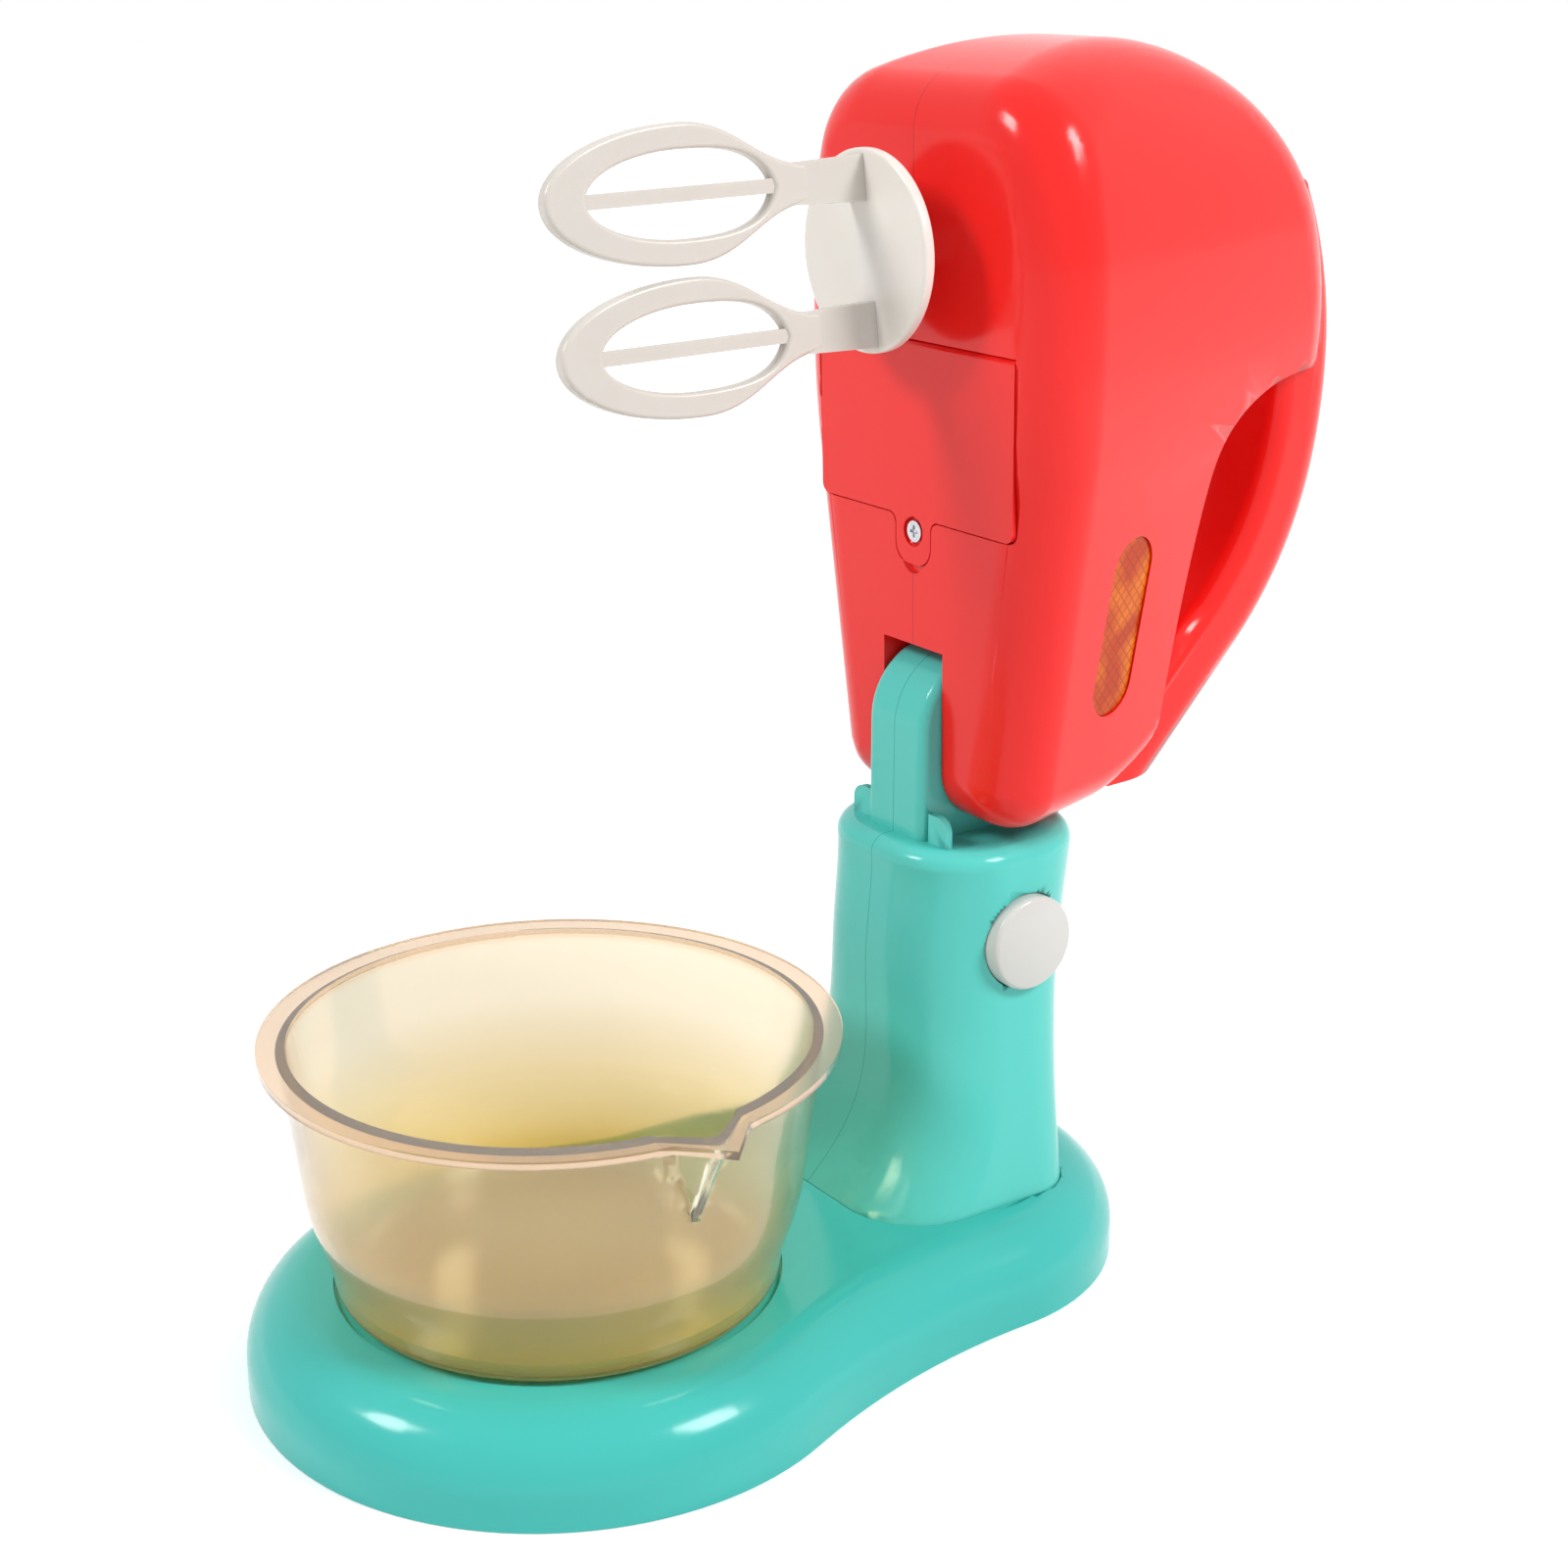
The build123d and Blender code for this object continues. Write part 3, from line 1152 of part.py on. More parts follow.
with BuildPart() as idler_axle:
    with BuildSketch(front(PLATE_FRONT[0])):
        with Locations((0, IDLER_S)):
            Circle(AXLE_R)
    extrude(amount=PLATE_REAR[1] - PLATE_FRONT[0])
idler_axle.part.label = "idler_axle"

BUSH_FRONT = HEAD_FACE - 0.9
with BuildPart() as spindle_bush:
    with BuildSketch(front(BUSH_FRONT)):
        with Locations((0, SPINDLE_S)):
            Circle(BUSH_R)
    extrude(amount=WALL_FACE + 1.6 - BUSH_FRONT)
    with BuildSketch(front(WALL_FACE + SEAT_GAP)):
        with Locations((0, SPINDLE_S)):
            Circle(BUSH_FLANGE_R)
    extrude(amount=1.4)
    with BuildSketch(front(BUSH_FRONT - 1)):
        with Locations((0, SPINDLE_S)):
            Circle(SPINDLE_R + RUN_GAP)
    extrude(amount=20, mode=Mode.SUBTRACT)
spindle_bush.part.label = "spindle_bush"

# ---------------------------------------------------------------- spindle and beater
with BuildPart() as spindle:
    with BuildSketch(front(SPINDLE_END)):
        with Locations((0, SPINDLE_S)):
            RectangleRounded(SPINDLE_SQUARE, SPINDLE_SQUARE, 0.6)
    extrude(amount=BUSH_FRONT - 0.2 - SPINDLE_END)
    with BuildSketch(front(BUSH_FRONT - 0.4)):
        with Locations((0, SPINDLE_S)):
            Circle(SPINDLE_R)
    extrude(amount=SPINDLE_INNER - BUSH_FRONT + 0.4)
spindle.part.label = "spindle"

with BuildPart() as beater_disc:
    with BuildSketch(front(DISC_H)):
        with Locations((0, SPINDLE_S)):
            Circle(DISC_R)
    extrude(amount=DISC_T)
    fillet(beater_disc.edges(), 0.7)
    with BuildSketch(front(DISC_H + DISC_T - 0.1)):
        with Locations((0, SPINDLE_S)):
            Circle(6.0)
    extrude(amount=1.6)
    with BuildSketch(front(SPINDLE_END - SEAT_GAP)):
        with Locations((0, SPINDLE_S)):
            RectangleRounded(SPINDLE_SQUARE + 0.1, SPINDLE_SQUARE + 0.1, 0.6)
    extrude(amount=20, mode=Mode.SUBTRACT)
beater_disc.part.label = "beater_disc"


def whisk_form():
    """Flat loop whisk above the spindle's axis, before the beater is turned."""
    s = SPINDLE_S + ARM
    half_stem = STEM_HALF[0]
    with BuildPart() as piece:
        with BuildSketch(flank(WHISK_T / 2)):
            with BuildLine():
                top = Spline((LOOP_START, s + LOOP_NECK), (LOOP_WIDEST, s + LOOP_HALF), tangents=[(-1, 0.1), (-1, 0)])
                EllipticalCenterArc((LOOP_WIDEST, s), LOOP_WIDEST - LOOP_TIP, LOOP_HALF, 90, arc_size=180)
                low = Spline((LOOP_WIDEST, s - LOOP_HALF), (LOOP_START, s - LOOP_NECK), tangents=[(1, 0), (1, 0.1)])
                Line(low @ 1, top @ 0)
            make_face()
            with BuildLine():
                Spline((LOOP_OPEN[0], s), (LOOP_WIDEST, s + LOOP_OPEN_HALF), tangents=[(-0.3, 1), (-1, 0)])
                EllipticalCenterArc((LOOP_WIDEST, s), LOOP_WIDEST - LOOP_OPEN[1], LOOP_OPEN_HALF, 90, arc_size=180)
                Spline((LOOP_WIDEST, s - LOOP_OPEN_HALF), (LOOP_OPEN[0], s), tangents=[(1, 0), (0.3, 1)])
            make_face(mode=Mode.SUBTRACT)
        extrude(amount=WHISK_T)
        outline = piece.faces().filter_by(Axis.Y).edges().filter_by(GeomType.LINE, reverse=True)
        fillet(outline, WHISK_ROUND)
        # thinner bar across the loop, and the stem that runs from the loop into the disc
        with BuildSketch(flank(LOOP_BAR_T / 2)):
            with Locations(((LOOP_OPEN[0] + LOOP_OPEN[1]) / 2, s)):
                Rectangle(LOOP_OPEN[0] - LOOP_OPEN[1] + 3, LOOP_BAR)
        extrude(amount=LOOP_BAR_T)
        with BuildSketch(front(LOOP_START - 5)):
            with Locations((0, s)):
                Rectangle(WHISK_T - 1.2, 2 * half_stem - 1.0)
        with BuildSketch(front(DISC_H)):
            with Locations((0, s)):
                Rectangle(2 * STEM_HALF[1], 2 * half_stem)
        loft()
    return piece.part


spindle_axis = Axis(HEAD.from_local_coords(Vector(0, SPINDLE_S, 0)), DEPTH)
one_whisk = whisk_form()

with BuildPart() as whisk_upper:
    add(one_whisk.rotate(spindle_axis, -BEATER_TURN))
whisk_upper.part.label = "whisk_upper"

with BuildPart() as whisk_lower:
    add(one_whisk.moved(Location(Vector(*UP) * (-2 * ARM))).rotate(spindle_axis, -BEATER_TURN))
whisk_lower.part.label = "whisk_lower"

# ---------------------------------------------------------------- export
export_step(base_shell.part, "parts/base_shell.step")
export_step(base_plate.part, "parts/base_plate.step")
export_step(base_screws.part, "parts/base_screws.step")
export_step(column_left.part, "parts/column_left.step")
export_step(column_right.part, "parts/column_right.step")
export_step(column_screws.part, "parts/column_screws.step")
export_step(hinge_pin.part, "parts/hinge_pin.step")
export_step(release_button.part, "parts/release_button.step")
export_step(latch_bar.part, "parts/latch_bar.step")
export_step(button_spring.part, "parts/button_spring.step")
export_step(bowl.part, "parts/bowl.step")
export_step(head_left.part, "parts/head_left.step")
export_step(head_right.part, "parts/head_right.step")
export_step(head_screws.part, "parts/head_screws.step")
export_step(lens_left.part, "parts/lens_left.step")
export_step(lens_right.part, "parts/lens_right.step")
export_step(battery_door.part, "parts/battery_door.step")
export_step(door_screw.part, "parts/door_screw.step")
export_step(battery_tray.part, "parts/battery_tray.step")
export_step(battery_lower.part, "parts/battery_lower.step")
export_step(battery_upper.part, "parts/battery_upper.step")
export_step(contact_left.part, "parts/contact_left.step")
export_step(contact_right.part, "parts/contact_right.step")
export_step(power_button.part, "parts/power_button.step")
export_step(power_switch.part, "parts/power_switch.step")
export_step(spindle_gear.part, "parts/spindle_gear.step")
export_step(idler_gear.part, "parts/idler_gear.step")
export_step(motor_pinion.part, "parts/motor_pinion.step")
export_step(motor_shaft.part, "parts/motor_shaft.step")
export_step(motor.part, "parts/motor.step")
export_step(gearbox_front.part, "parts/gearbox_front.step")
export_step(gearbox_rear.part, "parts/gearbox_rear.step")
export_step(idler_axle.part, "parts/idler_axle.step")
export_step(spindle_bush.part, "parts/spindle_bush.step")
export_step(spindle.part, "parts/spindle.step")
export_step(beater_disc.part, "parts/beater_disc.step")
export_step(whisk_upper.part, "parts/whisk_upper.step")
export_step(whisk_lower.part, "parts/whisk_lower.step")
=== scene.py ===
# %% [markdown]
# A toy stand mixer, stage by stage. The real thing is a child's toy of glossy moulded ABS: a teal
# stand, a red head that tilts, a loose bowl of clear amber plastic and a white beater. This file
# gives those pieces their light, their smooth skins and their materials.

# %% Load the CAD frame
import json
from math import cos, pi, radians, sin

import bpy
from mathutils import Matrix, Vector


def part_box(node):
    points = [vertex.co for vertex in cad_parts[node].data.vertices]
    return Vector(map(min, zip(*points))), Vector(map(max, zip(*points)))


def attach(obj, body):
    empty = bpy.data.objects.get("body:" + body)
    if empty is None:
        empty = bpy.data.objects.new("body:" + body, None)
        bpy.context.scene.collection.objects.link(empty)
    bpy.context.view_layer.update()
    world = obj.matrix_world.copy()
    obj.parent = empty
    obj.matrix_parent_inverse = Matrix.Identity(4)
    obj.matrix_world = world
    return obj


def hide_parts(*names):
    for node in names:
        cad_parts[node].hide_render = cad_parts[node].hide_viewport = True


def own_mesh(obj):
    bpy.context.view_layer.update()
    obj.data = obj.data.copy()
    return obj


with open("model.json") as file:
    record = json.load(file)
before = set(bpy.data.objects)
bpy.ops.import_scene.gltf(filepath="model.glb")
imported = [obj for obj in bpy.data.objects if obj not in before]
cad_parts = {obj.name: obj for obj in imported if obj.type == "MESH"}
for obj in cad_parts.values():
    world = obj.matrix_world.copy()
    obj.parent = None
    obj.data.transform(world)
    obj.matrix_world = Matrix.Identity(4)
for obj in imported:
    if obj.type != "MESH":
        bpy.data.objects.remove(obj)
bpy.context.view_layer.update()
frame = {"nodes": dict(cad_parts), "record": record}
record = frame["record"]
body_of = {node: body for body, nodes in record["behaviour"]["bodies"].items() for node in nodes}
slot_of = {part["node"]: part["material_slot"] for part in record["subparts"]}

# %% [markdown]
# The camera is a normal lens on a 36 mm wide sensor, set a little above the bowl and to its left, so
# that the bowl, the side of the head and the handle all show. It could be aimed by a constraint, but
# plain numbers for place and turn are easier to keep, because nothing else can move them.

# %% Camera
camera_data = bpy.data.cameras.new("camera")
camera_data.lens = 57.77
camera_data.sensor_width = 36.0
camera = bpy.data.objects.new("camera", camera_data)
bpy.context.collection.objects.link(camera)
camera.location = (-0.2119, -0.3733, 0.2607)
camera.rotation_euler = (radians(90 - 18.76), 0, radians(-35.34))
bpy.context.scene.camera = camera
bpy.context.scene.view_settings.view_transform = "Standard"
print("camera", round(camera.location.length, 3), "m from the bowl's foot")

# %% [markdown]
# Colours are written as sRGB hex, the way a paint chart or a picture gives them. Blender's shaders
# work in linear light, so one function turns each hex value into linear numbers. A second small
# function adds a node to a tree, sets it up and links it, so that each material below reads as a
# short recipe instead of a page of assignments.

# %% Helpers for colours and nodes
def linear(hex_colour):
    """Linear RGBA of an sRGB hex colour such as FF4B44."""
    shades = [int(hex_colour[i:i + 2], 16) / 255 for i in (0, 2, 4)]
    return tuple(c / 12.92 if c <= 0.04045 else ((c + 0.055) / 1.055) ** 2.4 for c in shades) + (1.0,)


def add_node(tree, kind, inputs=None, **settings):
    """Adds one node with its settings; an input is a plain value or the socket that feeds it."""
    node = tree.nodes.new(kind)
    for key, value in settings.items():
        setattr(node, key, value)
    for key, value in (inputs or {}).items():
        if isinstance(value, bpy.types.NodeSocket):
            tree.links.new(value, node.inputs[key])
        else:
            node.inputs[key].default_value = value
    return node


def new_material(name):
    """Empty material with its output node and Object coordinates."""
    material = bpy.data.materials.new(name)
    material.use_nodes = True
    tree = material.node_tree
    tree.nodes.clear()
    output = add_node(tree, "ShaderNodeOutputMaterial")
    place = add_node(tree, "ShaderNodeTexCoord").outputs["Object"]
    return material, tree, output, place


MM = 0.001
A, B, MIXED = 6, 7, 2      # a colour mix's two inputs and its output; a name would find the number sockets
print("FF4B44 is", [round(c, 3) for c in linear("FF4B44")])

# %% [markdown]
# The studio is a pale floor under a plain white surround. The world shows pure white to the camera
# and in reflections, but lights the object more gently than that, so pale plastic keeps its shading.
# The floor is a matt white sheet with a little glow of its own, which the camera, reflections and
# clear plastic see but which lights nothing: it reads as white paper in the open, and still keeps
# the soft contact shadow that puts the toy on the ground.

# %% Surround
def shown_white(tree):
    """1 for the rays that show the white surround: the camera's, mirrored ones and ones through plastic."""
    ray = add_node(tree, "ShaderNodeLightPath").outputs
    seen = add_node(tree, "ShaderNodeMath", {0: ray["Is Camera Ray"], 1: ray["Is Glossy Ray"]},
                    operation="MAXIMUM")
    through = add_node(tree, "ShaderNodeMath", {0: seen.outputs[0], 1: ray["Is Transmission Ray"]},
                       operation="MAXIMUM")
    return through.outputs[0]


AMBIENT = 0.47
world = bpy.data.worlds.new("studio_surround")
bpy.context.scene.world = world
world.use_nodes = True
tree = world.node_tree
tree.nodes.clear()
fill = add_node(tree, "ShaderNodeBackground", {"Color": (1, 1, 1, 1), "Strength": AMBIENT})
white = add_node(tree, "ShaderNodeBackground", {"Color": (1, 1, 1, 1), "Strength": 1.0})
surround = add_node(tree, "ShaderNodeMixShader", {0: shown_white(tree), 1: fill.outputs[0],
                                                  2: white.outputs[0]})
add_node(tree, "ShaderNodeOutputWorld", {"Surface": surround.outputs[0]})
print("surround lights at", AMBIENT, "and shows at 1")

# %% Floor
FLOOR_SIZE = 6.0
FLOOR_GAP = 0.2 * MM       # keeps the sheet clear of the flat underside
bpy.ops.object.select_all(action="DESELECT")
bpy.ops.mesh.primitive_plane_add(size=FLOOR_SIZE, location=(0, 0, -FLOOR_GAP))
floor = bpy.context.active_object
floor.name = "floor"
paper, tree, output, place = new_material("floor_paper")
sheet = add_node(tree, "ShaderNodeBsdfDiffuse", {"Color": linear("F4F4F4")})
# the lamps stand close, so the paper far from the toy needs more glow to read as white
reach = add_node(tree, "ShaderNodeVectorMath", {0: place}, operation="LENGTH")
far = add_node(tree, "ShaderNodeMapRange", {"Value": reach.outputs["Value"], "From Min": 0.25,
                                            "From Max": 1.0, "To Min": 0.34, "To Max": 0.75})
glow = add_node(tree, "ShaderNodeMath", {0: shown_white(tree), 1: far.outputs[0]}, operation="MULTIPLY")
lift = add_node(tree, "ShaderNodeEmission", {"Color": (1, 1, 1, 1), "Strength": glow.outputs[0]})
both = add_node(tree, "ShaderNodeAddShader", {0: sheet.outputs[0], 1: lift.outputs[0]})
tree.links.new(both.outputs[0], output.inputs["Surface"])
floor.data.materials.append(paper)
print("floor", floor.dimensions.x, "m wide")

# %% [markdown]
# Two soft boxes light the toy, one from the left rear side and one from the right front. Their
# places follow from where a glossy ball would mirror them: that is what draws the window-shaped
# highlights on the bowl, on the rim of the base and on the round edges of the head. They could be
# mesh lights, but area lamps are simpler and give the same soft square reflections.

# %% Soft boxes
TARGET = Vector((0.045, 0.0, 0.12))


def soft_box(name, azimuth, elevation, distance, size, power):
    """Square area lamp aimed at the toy; azimuth is measured from -Y towards +X."""
    data = bpy.data.lights.new(name, "AREA")
    data.shape = "SQUARE"
    data.size = size
    data.energy = power
    lamp = bpy.data.objects.new(name, data)
    bpy.context.collection.objects.link(lamp)
    a, e = radians(azimuth), radians(elevation)
    toward = Vector((sin(a) * cos(e), -cos(a) * cos(e), sin(e)))
    lamp.location = TARGET + toward * distance
    lamp.rotation_euler = toward.to_track_quat("Z", "Y").to_euler()
    return lamp


left_box = soft_box("soft_box_left", -108.6, 40.8, 1.2, 0.30, 6.0)
right_box = soft_box("soft_box_right", 29.5, 40.1, 1.2, 0.36, 9.0)
print("lamps at", [tuple(round(v, 2) for v in lamp.location) for lamp in (left_box, right_box)])

# %% [markdown]
# The CAD meshes are made of flat triangles. On glossy plastic every facet would flash, so each piece
# that shows gets a skin: a copy of its mesh whose doubled points are merged, smoothed where two faces
# meet at less than a set angle. A weighted normal modifier then keeps broad flat faces flat right up
# to their rounded edges, the way a polished mould leaves them.

# %% Smooth skins over the CAD shells
SAME_POINT = 0.002 * MM    # points nearer than this are one
FLAT_ANGLE = radians(0.4)  # faces that meet at less than this are one flat face
SOFT_ANGLE = radians(33)   # edges sharper than this stay sharp
FACE_WEIGHT = 95           # how strongly the larger face decides a normal


def smooth_skin(node_name):
    """Smooth copy of a CAD node that stands for it and rides on the same body."""
    source = frame["nodes"][node_name]
    skin = bpy.data.objects.new(node_name + "_skin", source.data.copy())
    bpy.context.collection.objects.link(skin)
    bpy.ops.object.select_all(action="DESELECT")
    skin.select_set(True)
    bpy.context.view_layer.objects.active = skin
    bpy.ops.object.mode_set(mode="EDIT")
    bpy.ops.mesh.select_all(action="SELECT")
    bpy.ops.mesh.remove_doubles(threshold=SAME_POINT)
    bpy.ops.mesh.dissolve_limited(angle_limit=FLAT_ANGLE)
    bpy.ops.object.mode_set(mode="OBJECT")
    bpy.ops.object.shade_smooth_by_angle(angle=SOFT_ANGLE)
    weighted = skin.modifiers.new("weighted", "WEIGHTED_NORMAL")
    weighted.keep_sharp = True
    weighted.weight = FACE_WEIGHT
    bpy.ops.object.modifier_apply(modifier=weighted.name)
    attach(skin, body_of[node_name])
    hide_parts(node_name)
    return skin


SHOWN = ["base_shell", "base_plate", "column_left", "column_right", "release_button", "bowl", "head_left",
         "head_right", "lens_left", "lens_right", "battery_door", "door_screw", "power_button",
         "spindle", "spindle_bush", "beater_disc", "whisk_upper", "whisk_lower", "head_screws",
         "column_screws", "base_screws", "hinge_pin", "button_spring"]
skins = {name: smooth_skin(name) for name in SHOWN}
print("skins", len(skins), "with", sum(len(skin.data.polygons) for skin in skins.values()), "faces")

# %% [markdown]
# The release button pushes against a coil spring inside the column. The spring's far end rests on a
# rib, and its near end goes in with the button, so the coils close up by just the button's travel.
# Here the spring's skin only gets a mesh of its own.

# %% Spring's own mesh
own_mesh(skins["button_spring"])

# %% [markdown]
# Moulded ABS, the plastic of most hard toys, is dyed through and comes out of a polished steel mould.
# It looks deep and even in colour with a clear gloss, but never like a mirror: a very shallow orange
# peel of a few millimetres makes its highlights waver, and the gloss is a touch uneven where hands
# have been. The two halves of a shell meet in a seam of about a tenth of a millimetre, which shows as
# a thin dark line. It could be modelled as a groove, but a line by distance from the mid-plane costs
# nothing and stays thin at any size.

# %% Moulded ABS
def moulded_abs(name, colour, shade, gloss=0.16, seamed=False):
    """Glossy dyed ABS: colour in the open, shade in the dye's slow drift and in the seam."""
    material, tree, output, place = new_material(name)
    # the dye drifts a little over some 40 mm
    drift = add_node(tree, "ShaderNodeTexNoise", {"Vector": place, "Scale": 1 / (40 * MM), "Detail": 2.0})
    amount = add_node(tree, "ShaderNodeMapRange", {"Value": drift.outputs[0], "To Min": 0.0, "To Max": 0.10})
    dye = add_node(tree, "ShaderNodeMix", {0: amount.outputs[0], A: linear(colour), B: linear(shade)},
                   data_type="RGBA")
    # orange peel about 3 mm across and a few micrometres deep
    peel = add_node(tree, "ShaderNodeTexNoise", {"Vector": place, "Scale": 1 / (3 * MM), "Detail": 1.0})
    # handling leaves patches of slightly duller gloss, about 15 mm across
    touch = add_node(tree, "ShaderNodeTexNoise", {"Vector": place, "Scale": 1 / (15 * MM), "Detail": 3.0})
    rough = add_node(tree, "ShaderNodeMapRange", {"Value": touch.outputs[0], "To Min": gloss - 0.03,
                                                  "To Max": gloss + 0.04})
    skin = dye.outputs[MIXED]
    if seamed:
        depth = add_node(tree, "ShaderNodeSeparateXYZ", {0: place}).outputs["Y"]
        away = add_node(tree, "ShaderNodeMath", {0: depth}, operation="ABSOLUTE")
        line = add_node(tree, "ShaderNodeMapRange", {"Value": away.outputs[0], "From Min": 0.08 * MM,
                                                     "From Max": 0.16 * MM, "To Min": 0.75, "To Max": 0.0})
        joint = add_node(tree, "ShaderNodeMix", {0: line.outputs[0], A: skin, B: linear(shade)},
                         data_type="RGBA")
        skin = joint.outputs[MIXED]
    relief = add_node(tree, "ShaderNodeBump", {"Height": peel.outputs[0], "Strength": 0.05,
                                               "Distance": 0.02 * MM})
    plastic = add_node(tree, "ShaderNodeBsdfPrincipled", {"Base Color": skin, "Roughness": rough.outputs[0],
                                                          "IOR": 1.53, "Specular IOR Level": 0.28,
                                                          "Normal": relief.outputs[0]})
    tree.links.new(plastic.outputs[0], output.inputs["Surface"])
    return material


red_abs_seamed = moulded_abs("moulded_abs_red_seamed", "F8221E", "BC0F0D", seamed=True)
red_abs = moulded_abs("moulded_abs_red", "F8221E", "BC0F0D")
# painted shade: this teal, for the base and the plain teal parts, is the columns' plastic painted darker
teal_abs = moulded_abs("moulded_abs_teal", "44C2BA", "2A958E")
teal_abs_seamed = moulded_abs("moulded_abs_teal_seamed", "5AD0C6", "2F9F97", seamed=True)
white_abs = moulded_abs("moulded_abs_white", "D6D5D1", "C2C0BB", gloss=0.14)
print("ABS in red, teal and white")

# %% [markdown]
# The whisks are moulded in a softer, slightly milky plastic, such as polypropylene. Light goes a
# little way into it, which fills the shadows between the loops with a warm glow. Subsurface
# scattering with a radius of a couple of millimetres gives that; a plain diffuse white would look
# like chalk.

# %% Milky polypropylene of the beater
def milky_polypropylene(name, colour, warm):
    """Milky moulded plastic with a soft gloss."""
    material, tree, output, place = new_material(name)
    flow = add_node(tree, "ShaderNodeTexNoise", {"Vector": place, "Scale": 1 / (12 * MM), "Detail": 2.0})
    amount = add_node(tree, "ShaderNodeMapRange", {"Value": flow.outputs[0], "To Min": 0.0, "To Max": 0.5})
    milk = add_node(tree, "ShaderNodeMix", {0: amount.outputs[0], A: linear(colour), B: linear(warm)},
                    data_type="RGBA")
    # mould texture of about 0.6 mm
    grain = add_node(tree, "ShaderNodeTexNoise", {"Vector": place, "Scale": 1 / (0.6 * MM), "Detail": 1.0})
    relief = add_node(tree, "ShaderNodeBump", {"Height": grain.outputs[0], "Strength": 0.05,
                                               "Distance": 0.02 * MM})
    plastic = add_node(tree, "ShaderNodeBsdfPrincipled", {
        "Base Color": milk.outputs[MIXED], "Roughness": 0.27, "IOR": 1.49, "Subsurface Weight": 0.25,
        "Subsurface Radius": (1.0, 0.8, 0.6), "Subsurface Scale": 2 * MM, "Normal": relief.outputs[0]})
    tree.links.new(plastic.outputs[0], output.inputs["Surface"])
    return material


# painted shade: the whisks' copy of the milky plastic is painted darker than the disc's
beater_pp = milky_polypropylene("milky_polypropylene", "D8D3CC", "CDC6BC")
disc_pp = milky_polypropylene("milky_polypropylene_disc", "ECE8E2", "E0DACF")
spindle_pp = milky_polypropylene("milky_polypropylene_rose", "EBD9D6", "E2C9C5")
print("milky plastic for the beater")

# %% [markdown]
# The bowl is clear styrene plastic, dyed amber and made cloudy, so it passes light but blurs what
# is behind it. Its edges look deeper orange than its walls, because the eye looks along the wall
# there and through more dye. A real volume would do that by itself; here part of the light goes
# straight through, part is scattered, and the dye deepens where the wall is seen edge on.

# %% Cloudy amber styrene
lip_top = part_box("bowl")[1][2]
amber, tree, output, place = new_material("cloudy_styrene_amber")
flow = add_node(tree, "ShaderNodeTexNoise", {"Vector": place, "Scale": 1 / (25 * MM), "Detail": 2.0})
edge_on = add_node(tree, "ShaderNodeLayerWeight", {"Blend": 0.32})
rim = add_node(tree, "ShaderNodeMapRange", {"Value": edge_on.outputs["Facing"], "From Min": 0.45,
                                            "To Min": 0.0, "To Max": 0.8})
# painted shade: the amber is painted deeper and yellower towards the foot, for the shaded lower inside seen
# through the wall
level = add_node(tree, "ShaderNodeSeparateXYZ", {0: place}).outputs["Z"]
foot = add_node(tree, "ShaderNodeMapRange", {"Value": level, "From Min": 20 * MM, "From Max": 54 * MM,
                                             "To Min": 0.9, "To Max": 0.0})
amber_painted_deeper_low = add_node(tree, "ShaderNodeMix", {0: foot.outputs[0], A: linear("F9F0DA"), B: linear("E8C850")},
                 data_type="RGBA")
# the rolled lip is twice as thick as the wall and gathers the light of the whole rim
lip = add_node(tree, "ShaderNodeMapRange", {"Value": level, "From Min": lip_top - 2.8 * MM,
                                            "From Max": lip_top - 0.8 * MM, "To Min": 0.0, "To Max": 0.42})
edge = add_node(tree, "ShaderNodeMath", {0: rim.outputs[0], 1: lip.outputs[0]}, operation="MAXIMUM")
# the colour mixes the deeper dye seen edge on with the painted light of the lip and the painted shade towards
# the foot
dyed = add_node(tree, "ShaderNodeMix", {0: edge.outputs[0], A: amber_painted_deeper_low.outputs[MIXED], B: linear("EBA45C")},
                data_type="RGBA")
cloud = add_node(tree, "ShaderNodeMapRange", {"Value": flow.outputs[0], "To Min": 0.10, "To Max": 0.16})
# the thick foot scatters more and lets less straight through
clear = add_node(tree, "ShaderNodeMapRange", {"Value": level, "From Min": 18 * MM, "From Max": 40 * MM,
                                              "To Min": 0.62, "To Max": 0.94})
styrene = add_node(tree, "ShaderNodeBsdfPrincipled", {
    "Base Color": dyed.outputs[MIXED], "Roughness": cloud.outputs[0], "IOR": 1.45,
    "Transmission Weight": clear.outputs[0], "Coat Weight": 0.6, "Coat Roughness": 0.06})
tree.links.new(styrene.outputs[0], output.inputs["Surface"])
print("amber styrene for the bowl")

# %% [markdown]
# Each side of the head has an orange lens like a reflector's: clear acrylic over a sheet of small
# prisms. The prisms stand in a diamond grid of some 2 mm and throw the light back in patches of deep
# and bright orange. A grid of real prisms would need thousands of faces, so the grid is drawn by a
# cell texture without any randomness, with a very shallow relief. The patches of thrown-back light
# are painted reflection in the colour.

# %% Prismatic acrylic lens
prism, tree, output, place = new_material("prismatic_acrylic_orange")
parts = add_node(tree, "ShaderNodeSeparateXYZ", {0: place}).outputs
# the cells follow the side view, so they are laid out by x and z only, turned by 45 degrees
flat = add_node(tree, "ShaderNodeCombineXYZ", {"X": parts["X"], "Y": parts["Z"], "Z": 0.0})
grid = add_node(tree, "ShaderNodeMapping", {"Vector": flat.outputs[0], "Rotation": (0, 0, radians(45))})
cells = add_node(tree, "ShaderNodeTexVoronoi", {"Vector": grid.outputs[0], "Scale": 1 / (1.9 * MM),
                                                "Randomness": 0.0},
                 feature="DISTANCE_TO_EDGE", voronoi_dimensions="2D")
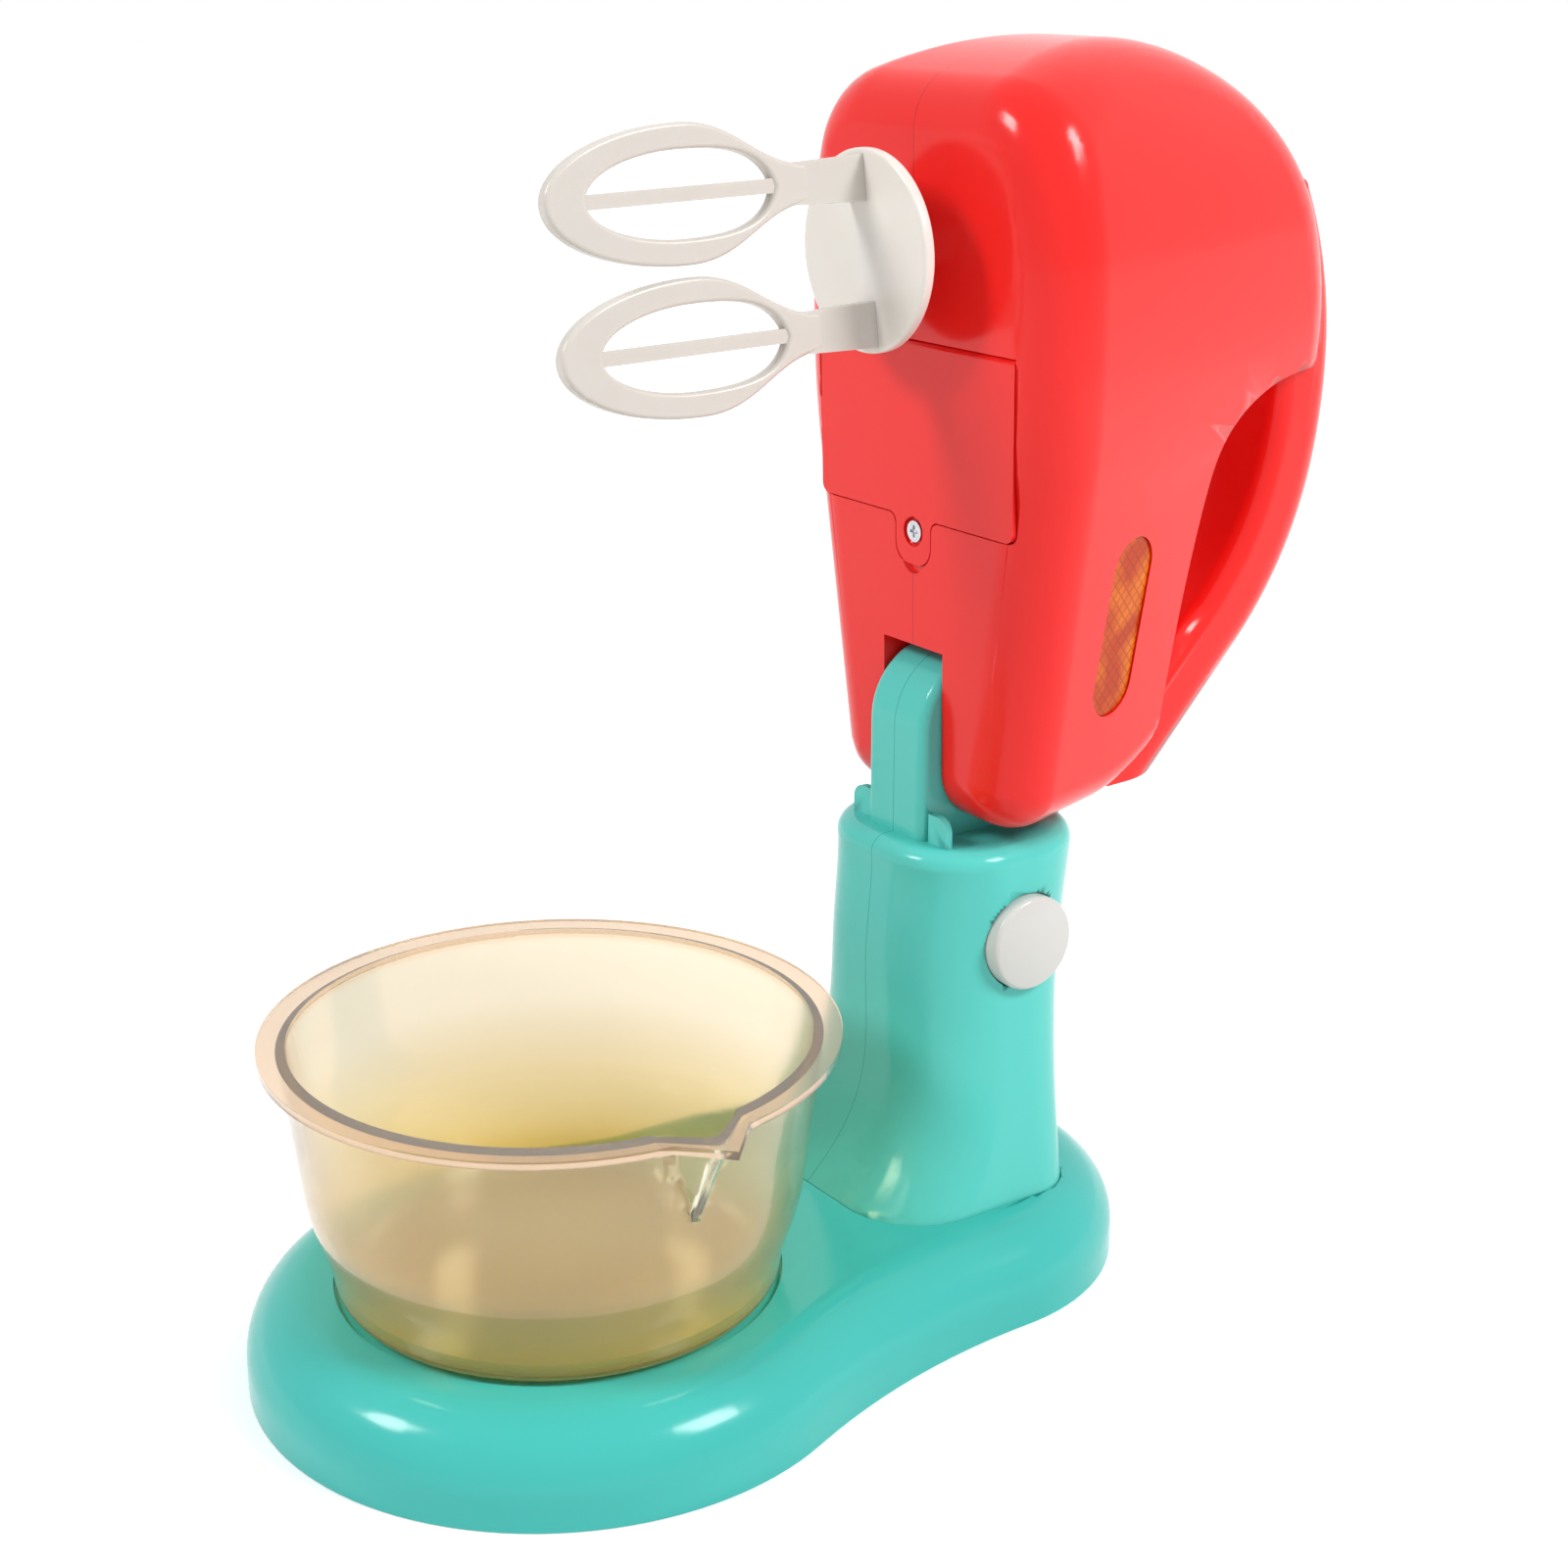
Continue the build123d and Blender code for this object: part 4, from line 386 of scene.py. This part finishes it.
# painted reflection: a slow noise mixes bright and deep orange into the lens colour
patch = add_node(tree, "ShaderNodeTexNoise", {"Vector": place, "Scale": 1 / (9 * MM), "Detail": 1.0})
tone = add_node(tree, "ShaderNodeMapRange", {"Value": patch.outputs[0], "From Min": 0.38, "From Max": 0.66})
lens_painted_reflection = add_node(tree, "ShaderNodeMix", {0: tone.outputs[0], A: linear("C23E0A"), B: linear("EA7A16")},
               data_type="RGBA")
ridge = add_node(tree, "ShaderNodeMapRange", {"Value": cells.outputs[0], "From Max": 0.16,
                                              "To Min": 0.6, "To Max": 0.0})
lens_cells_and_painted_reflection = add_node(tree, "ShaderNodeMix", {0: ridge.outputs[0], A: lens_painted_reflection.outputs[MIXED], B: linear("8E3206")},
                   data_type="RGBA")
relief = add_node(tree, "ShaderNodeBump", {"Height": cells.outputs[0], "Strength": 0.12,
                                           "Distance": 0.1 * MM})
acrylic = add_node(tree, "ShaderNodeBsdfPrincipled", {
    "Base Color": lens_cells_and_painted_reflection.outputs[MIXED], "Roughness": 0.16, "IOR": 1.49, "Specular IOR Level": 0.12,
    "Normal": relief.outputs[0]})
tree.links.new(acrylic.outputs[0], output.inputs["Surface"])
print("prismatic lens, cells of 1.9 mm")

# %% [markdown]
# What is inside needs no polish. The battery tray and the gearbox are high impact styrene straight
# from a spark-eroded mould, which leaves a fine matt grain. The gears are acetal, waxy and a little
# translucent. Screws, pin, spring and contacts are steel with a thin zinc plate, and the two cells
# wear a shrunk plastic sleeve.

# %% Matt styrene and waxy acetal
def grained_plastic(name, colour, shade, grain_mm, rough, milky=0.0):
    """Undecorated inner plastic with the grain its mould leaves."""
    material, tree, output, place = new_material(name)
    grain = add_node(tree, "ShaderNodeTexNoise", {"Vector": place, "Scale": 1 / (grain_mm * MM),
                                                  "Detail": 2.0})
    mix = add_node(tree, "ShaderNodeMix", {0: grain.outputs[0], A: linear(colour), B: linear(shade)},
                   data_type="RGBA")
    relief = add_node(tree, "ShaderNodeBump", {"Height": grain.outputs[0], "Strength": 0.3,
                                               "Distance": 0.03 * MM})
    plastic = add_node(tree, "ShaderNodeBsdfPrincipled", {
        "Base Color": mix.outputs[MIXED], "Roughness": rough, "IOR": 1.5, "Subsurface Weight": milky,
        "Subsurface Scale": 1 * MM, "Normal": relief.outputs[0]})
    tree.links.new(plastic.outputs[0], output.inputs["Surface"])
    return material


matt_styrene = grained_plastic("spark_grained_styrene", "DEDBD6", "CFCBC5", 0.8, 0.55)
waxy_acetal = grained_plastic("waxy_acetal", "F0EEE8", "E6E2D8", 1.5, 0.4, milky=0.15)
sleeve = grained_plastic("shrunk_cell_sleeve", "2C2C30", "3A3A40", 4.0, 0.32)
print("inner plastics")

# %% Zinc-plated steel
zinc, tree, output, place = new_material("zinc_plated_steel")
spangle = add_node(tree, "ShaderNodeTexVoronoi", {"Vector": place, "Scale": 1 / (0.7 * MM)})
tone = add_node(tree, "ShaderNodeSeparateColor", {0: spangle.outputs["Color"]})
plate = add_node(tree, "ShaderNodeMix", {0: tone.outputs[0], A: linear("B9BCC2"), B: linear("C9CBCE")},
                 data_type="RGBA")
dull = add_node(tree, "ShaderNodeMapRange", {"Value": tone.outputs[1], "To Min": 0.26, "To Max": 0.36})
metal = add_node(tree, "ShaderNodeBsdfPrincipled", {"Base Color": plate.outputs[MIXED], "Metallic": 1.0,
                                                    "Roughness": dull.outputs[0]})
tree.links.new(metal.outputs[0], output.inputs["Surface"])
print("zinc-plated steel")

# %% [markdown]
# The spindle leaves the head through a turned bush. The cutter left fine rings on its face, which
# show as light and dark arcs. They are drawn by the distance from the spindle's axis, which leans
# back by about one degree with the head.

# %% Turned bush
bush_low, bush_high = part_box("spindle_bush")
axis_z = (bush_low[2] + bush_high[2]) / 2
turned, tree, output, place = new_material("turned_bush_styrene")
parts = add_node(tree, "ShaderNodeSeparateXYZ", {0: place}).outputs
up = add_node(tree, "ShaderNodeMath", {0: parts["Z"], 1: axis_z}, operation="SUBTRACT")
flat = add_node(tree, "ShaderNodeCombineXYZ", {"X": parts["Y"], "Y": up.outputs[0], "Z": 0.0})
away = add_node(tree, "ShaderNodeVectorMath", {0: flat.outputs[0]}, operation="LENGTH")
# rings every 0.9 mm
turns = add_node(tree, "ShaderNodeMath", {0: away.outputs["Value"], 1: 2 * pi / (0.9 * MM)},
                 operation="MULTIPLY")
wave = add_node(tree, "ShaderNodeMath", {0: turns.outputs[0]}, operation="SINE")
band = add_node(tree, "ShaderNodeMapRange", {"Value": wave.outputs[0], "From Min": -1.0, "From Max": 1.0})
rings = add_node(tree, "ShaderNodeMix", {0: band.outputs[0], A: linear("E9DAD6"), B: linear("D8B7B1")},
                 data_type="RGBA")
relief = add_node(tree, "ShaderNodeBump", {"Height": band.outputs[0], "Strength": 0.4, "Distance": 0.05 * MM})
styrene = add_node(tree, "ShaderNodeBsdfPrincipled", {"Base Color": rings.outputs[MIXED], "Roughness": 0.3,
                                                      "IOR": 1.5, "Normal": relief.outputs[0]})
tree.links.new(styrene.outputs[0], output.inputs["Surface"])
print("turned bush round z", round(axis_z, 4))

# %% [markdown]
# Every piece now gets the finish of its real counterpart, the hidden ones too, because the head
# opens and the toy is looked at from all sides.

# %% Give each piece its material
FINISH = {"red": red_abs, "teal": teal_abs, "white": white_abs, "amber_clear": amber, "lens": prism,
          "inner": matt_styrene, "gear": waxy_acetal, "cell": sleeve, "steel": zinc}
SPECIAL = {"column_left": teal_abs_seamed, "column_right": teal_abs_seamed,
           "head_left": red_abs_seamed, "head_right": red_abs_seamed,
           "whisk_upper": beater_pp, "whisk_lower": beater_pp, "beater_disc": disc_pp,
           "spindle": spindle_pp, "spindle_bush": turned}
for name, node in frame["nodes"].items():
    finish = SPECIAL.get(name, FINISH[slot_of[name]])
    piece = skins.get(name, node)
    piece.data.materials.clear()
    piece.data.materials.append(finish)
print("materials on", len(frame["nodes"]), "pieces")
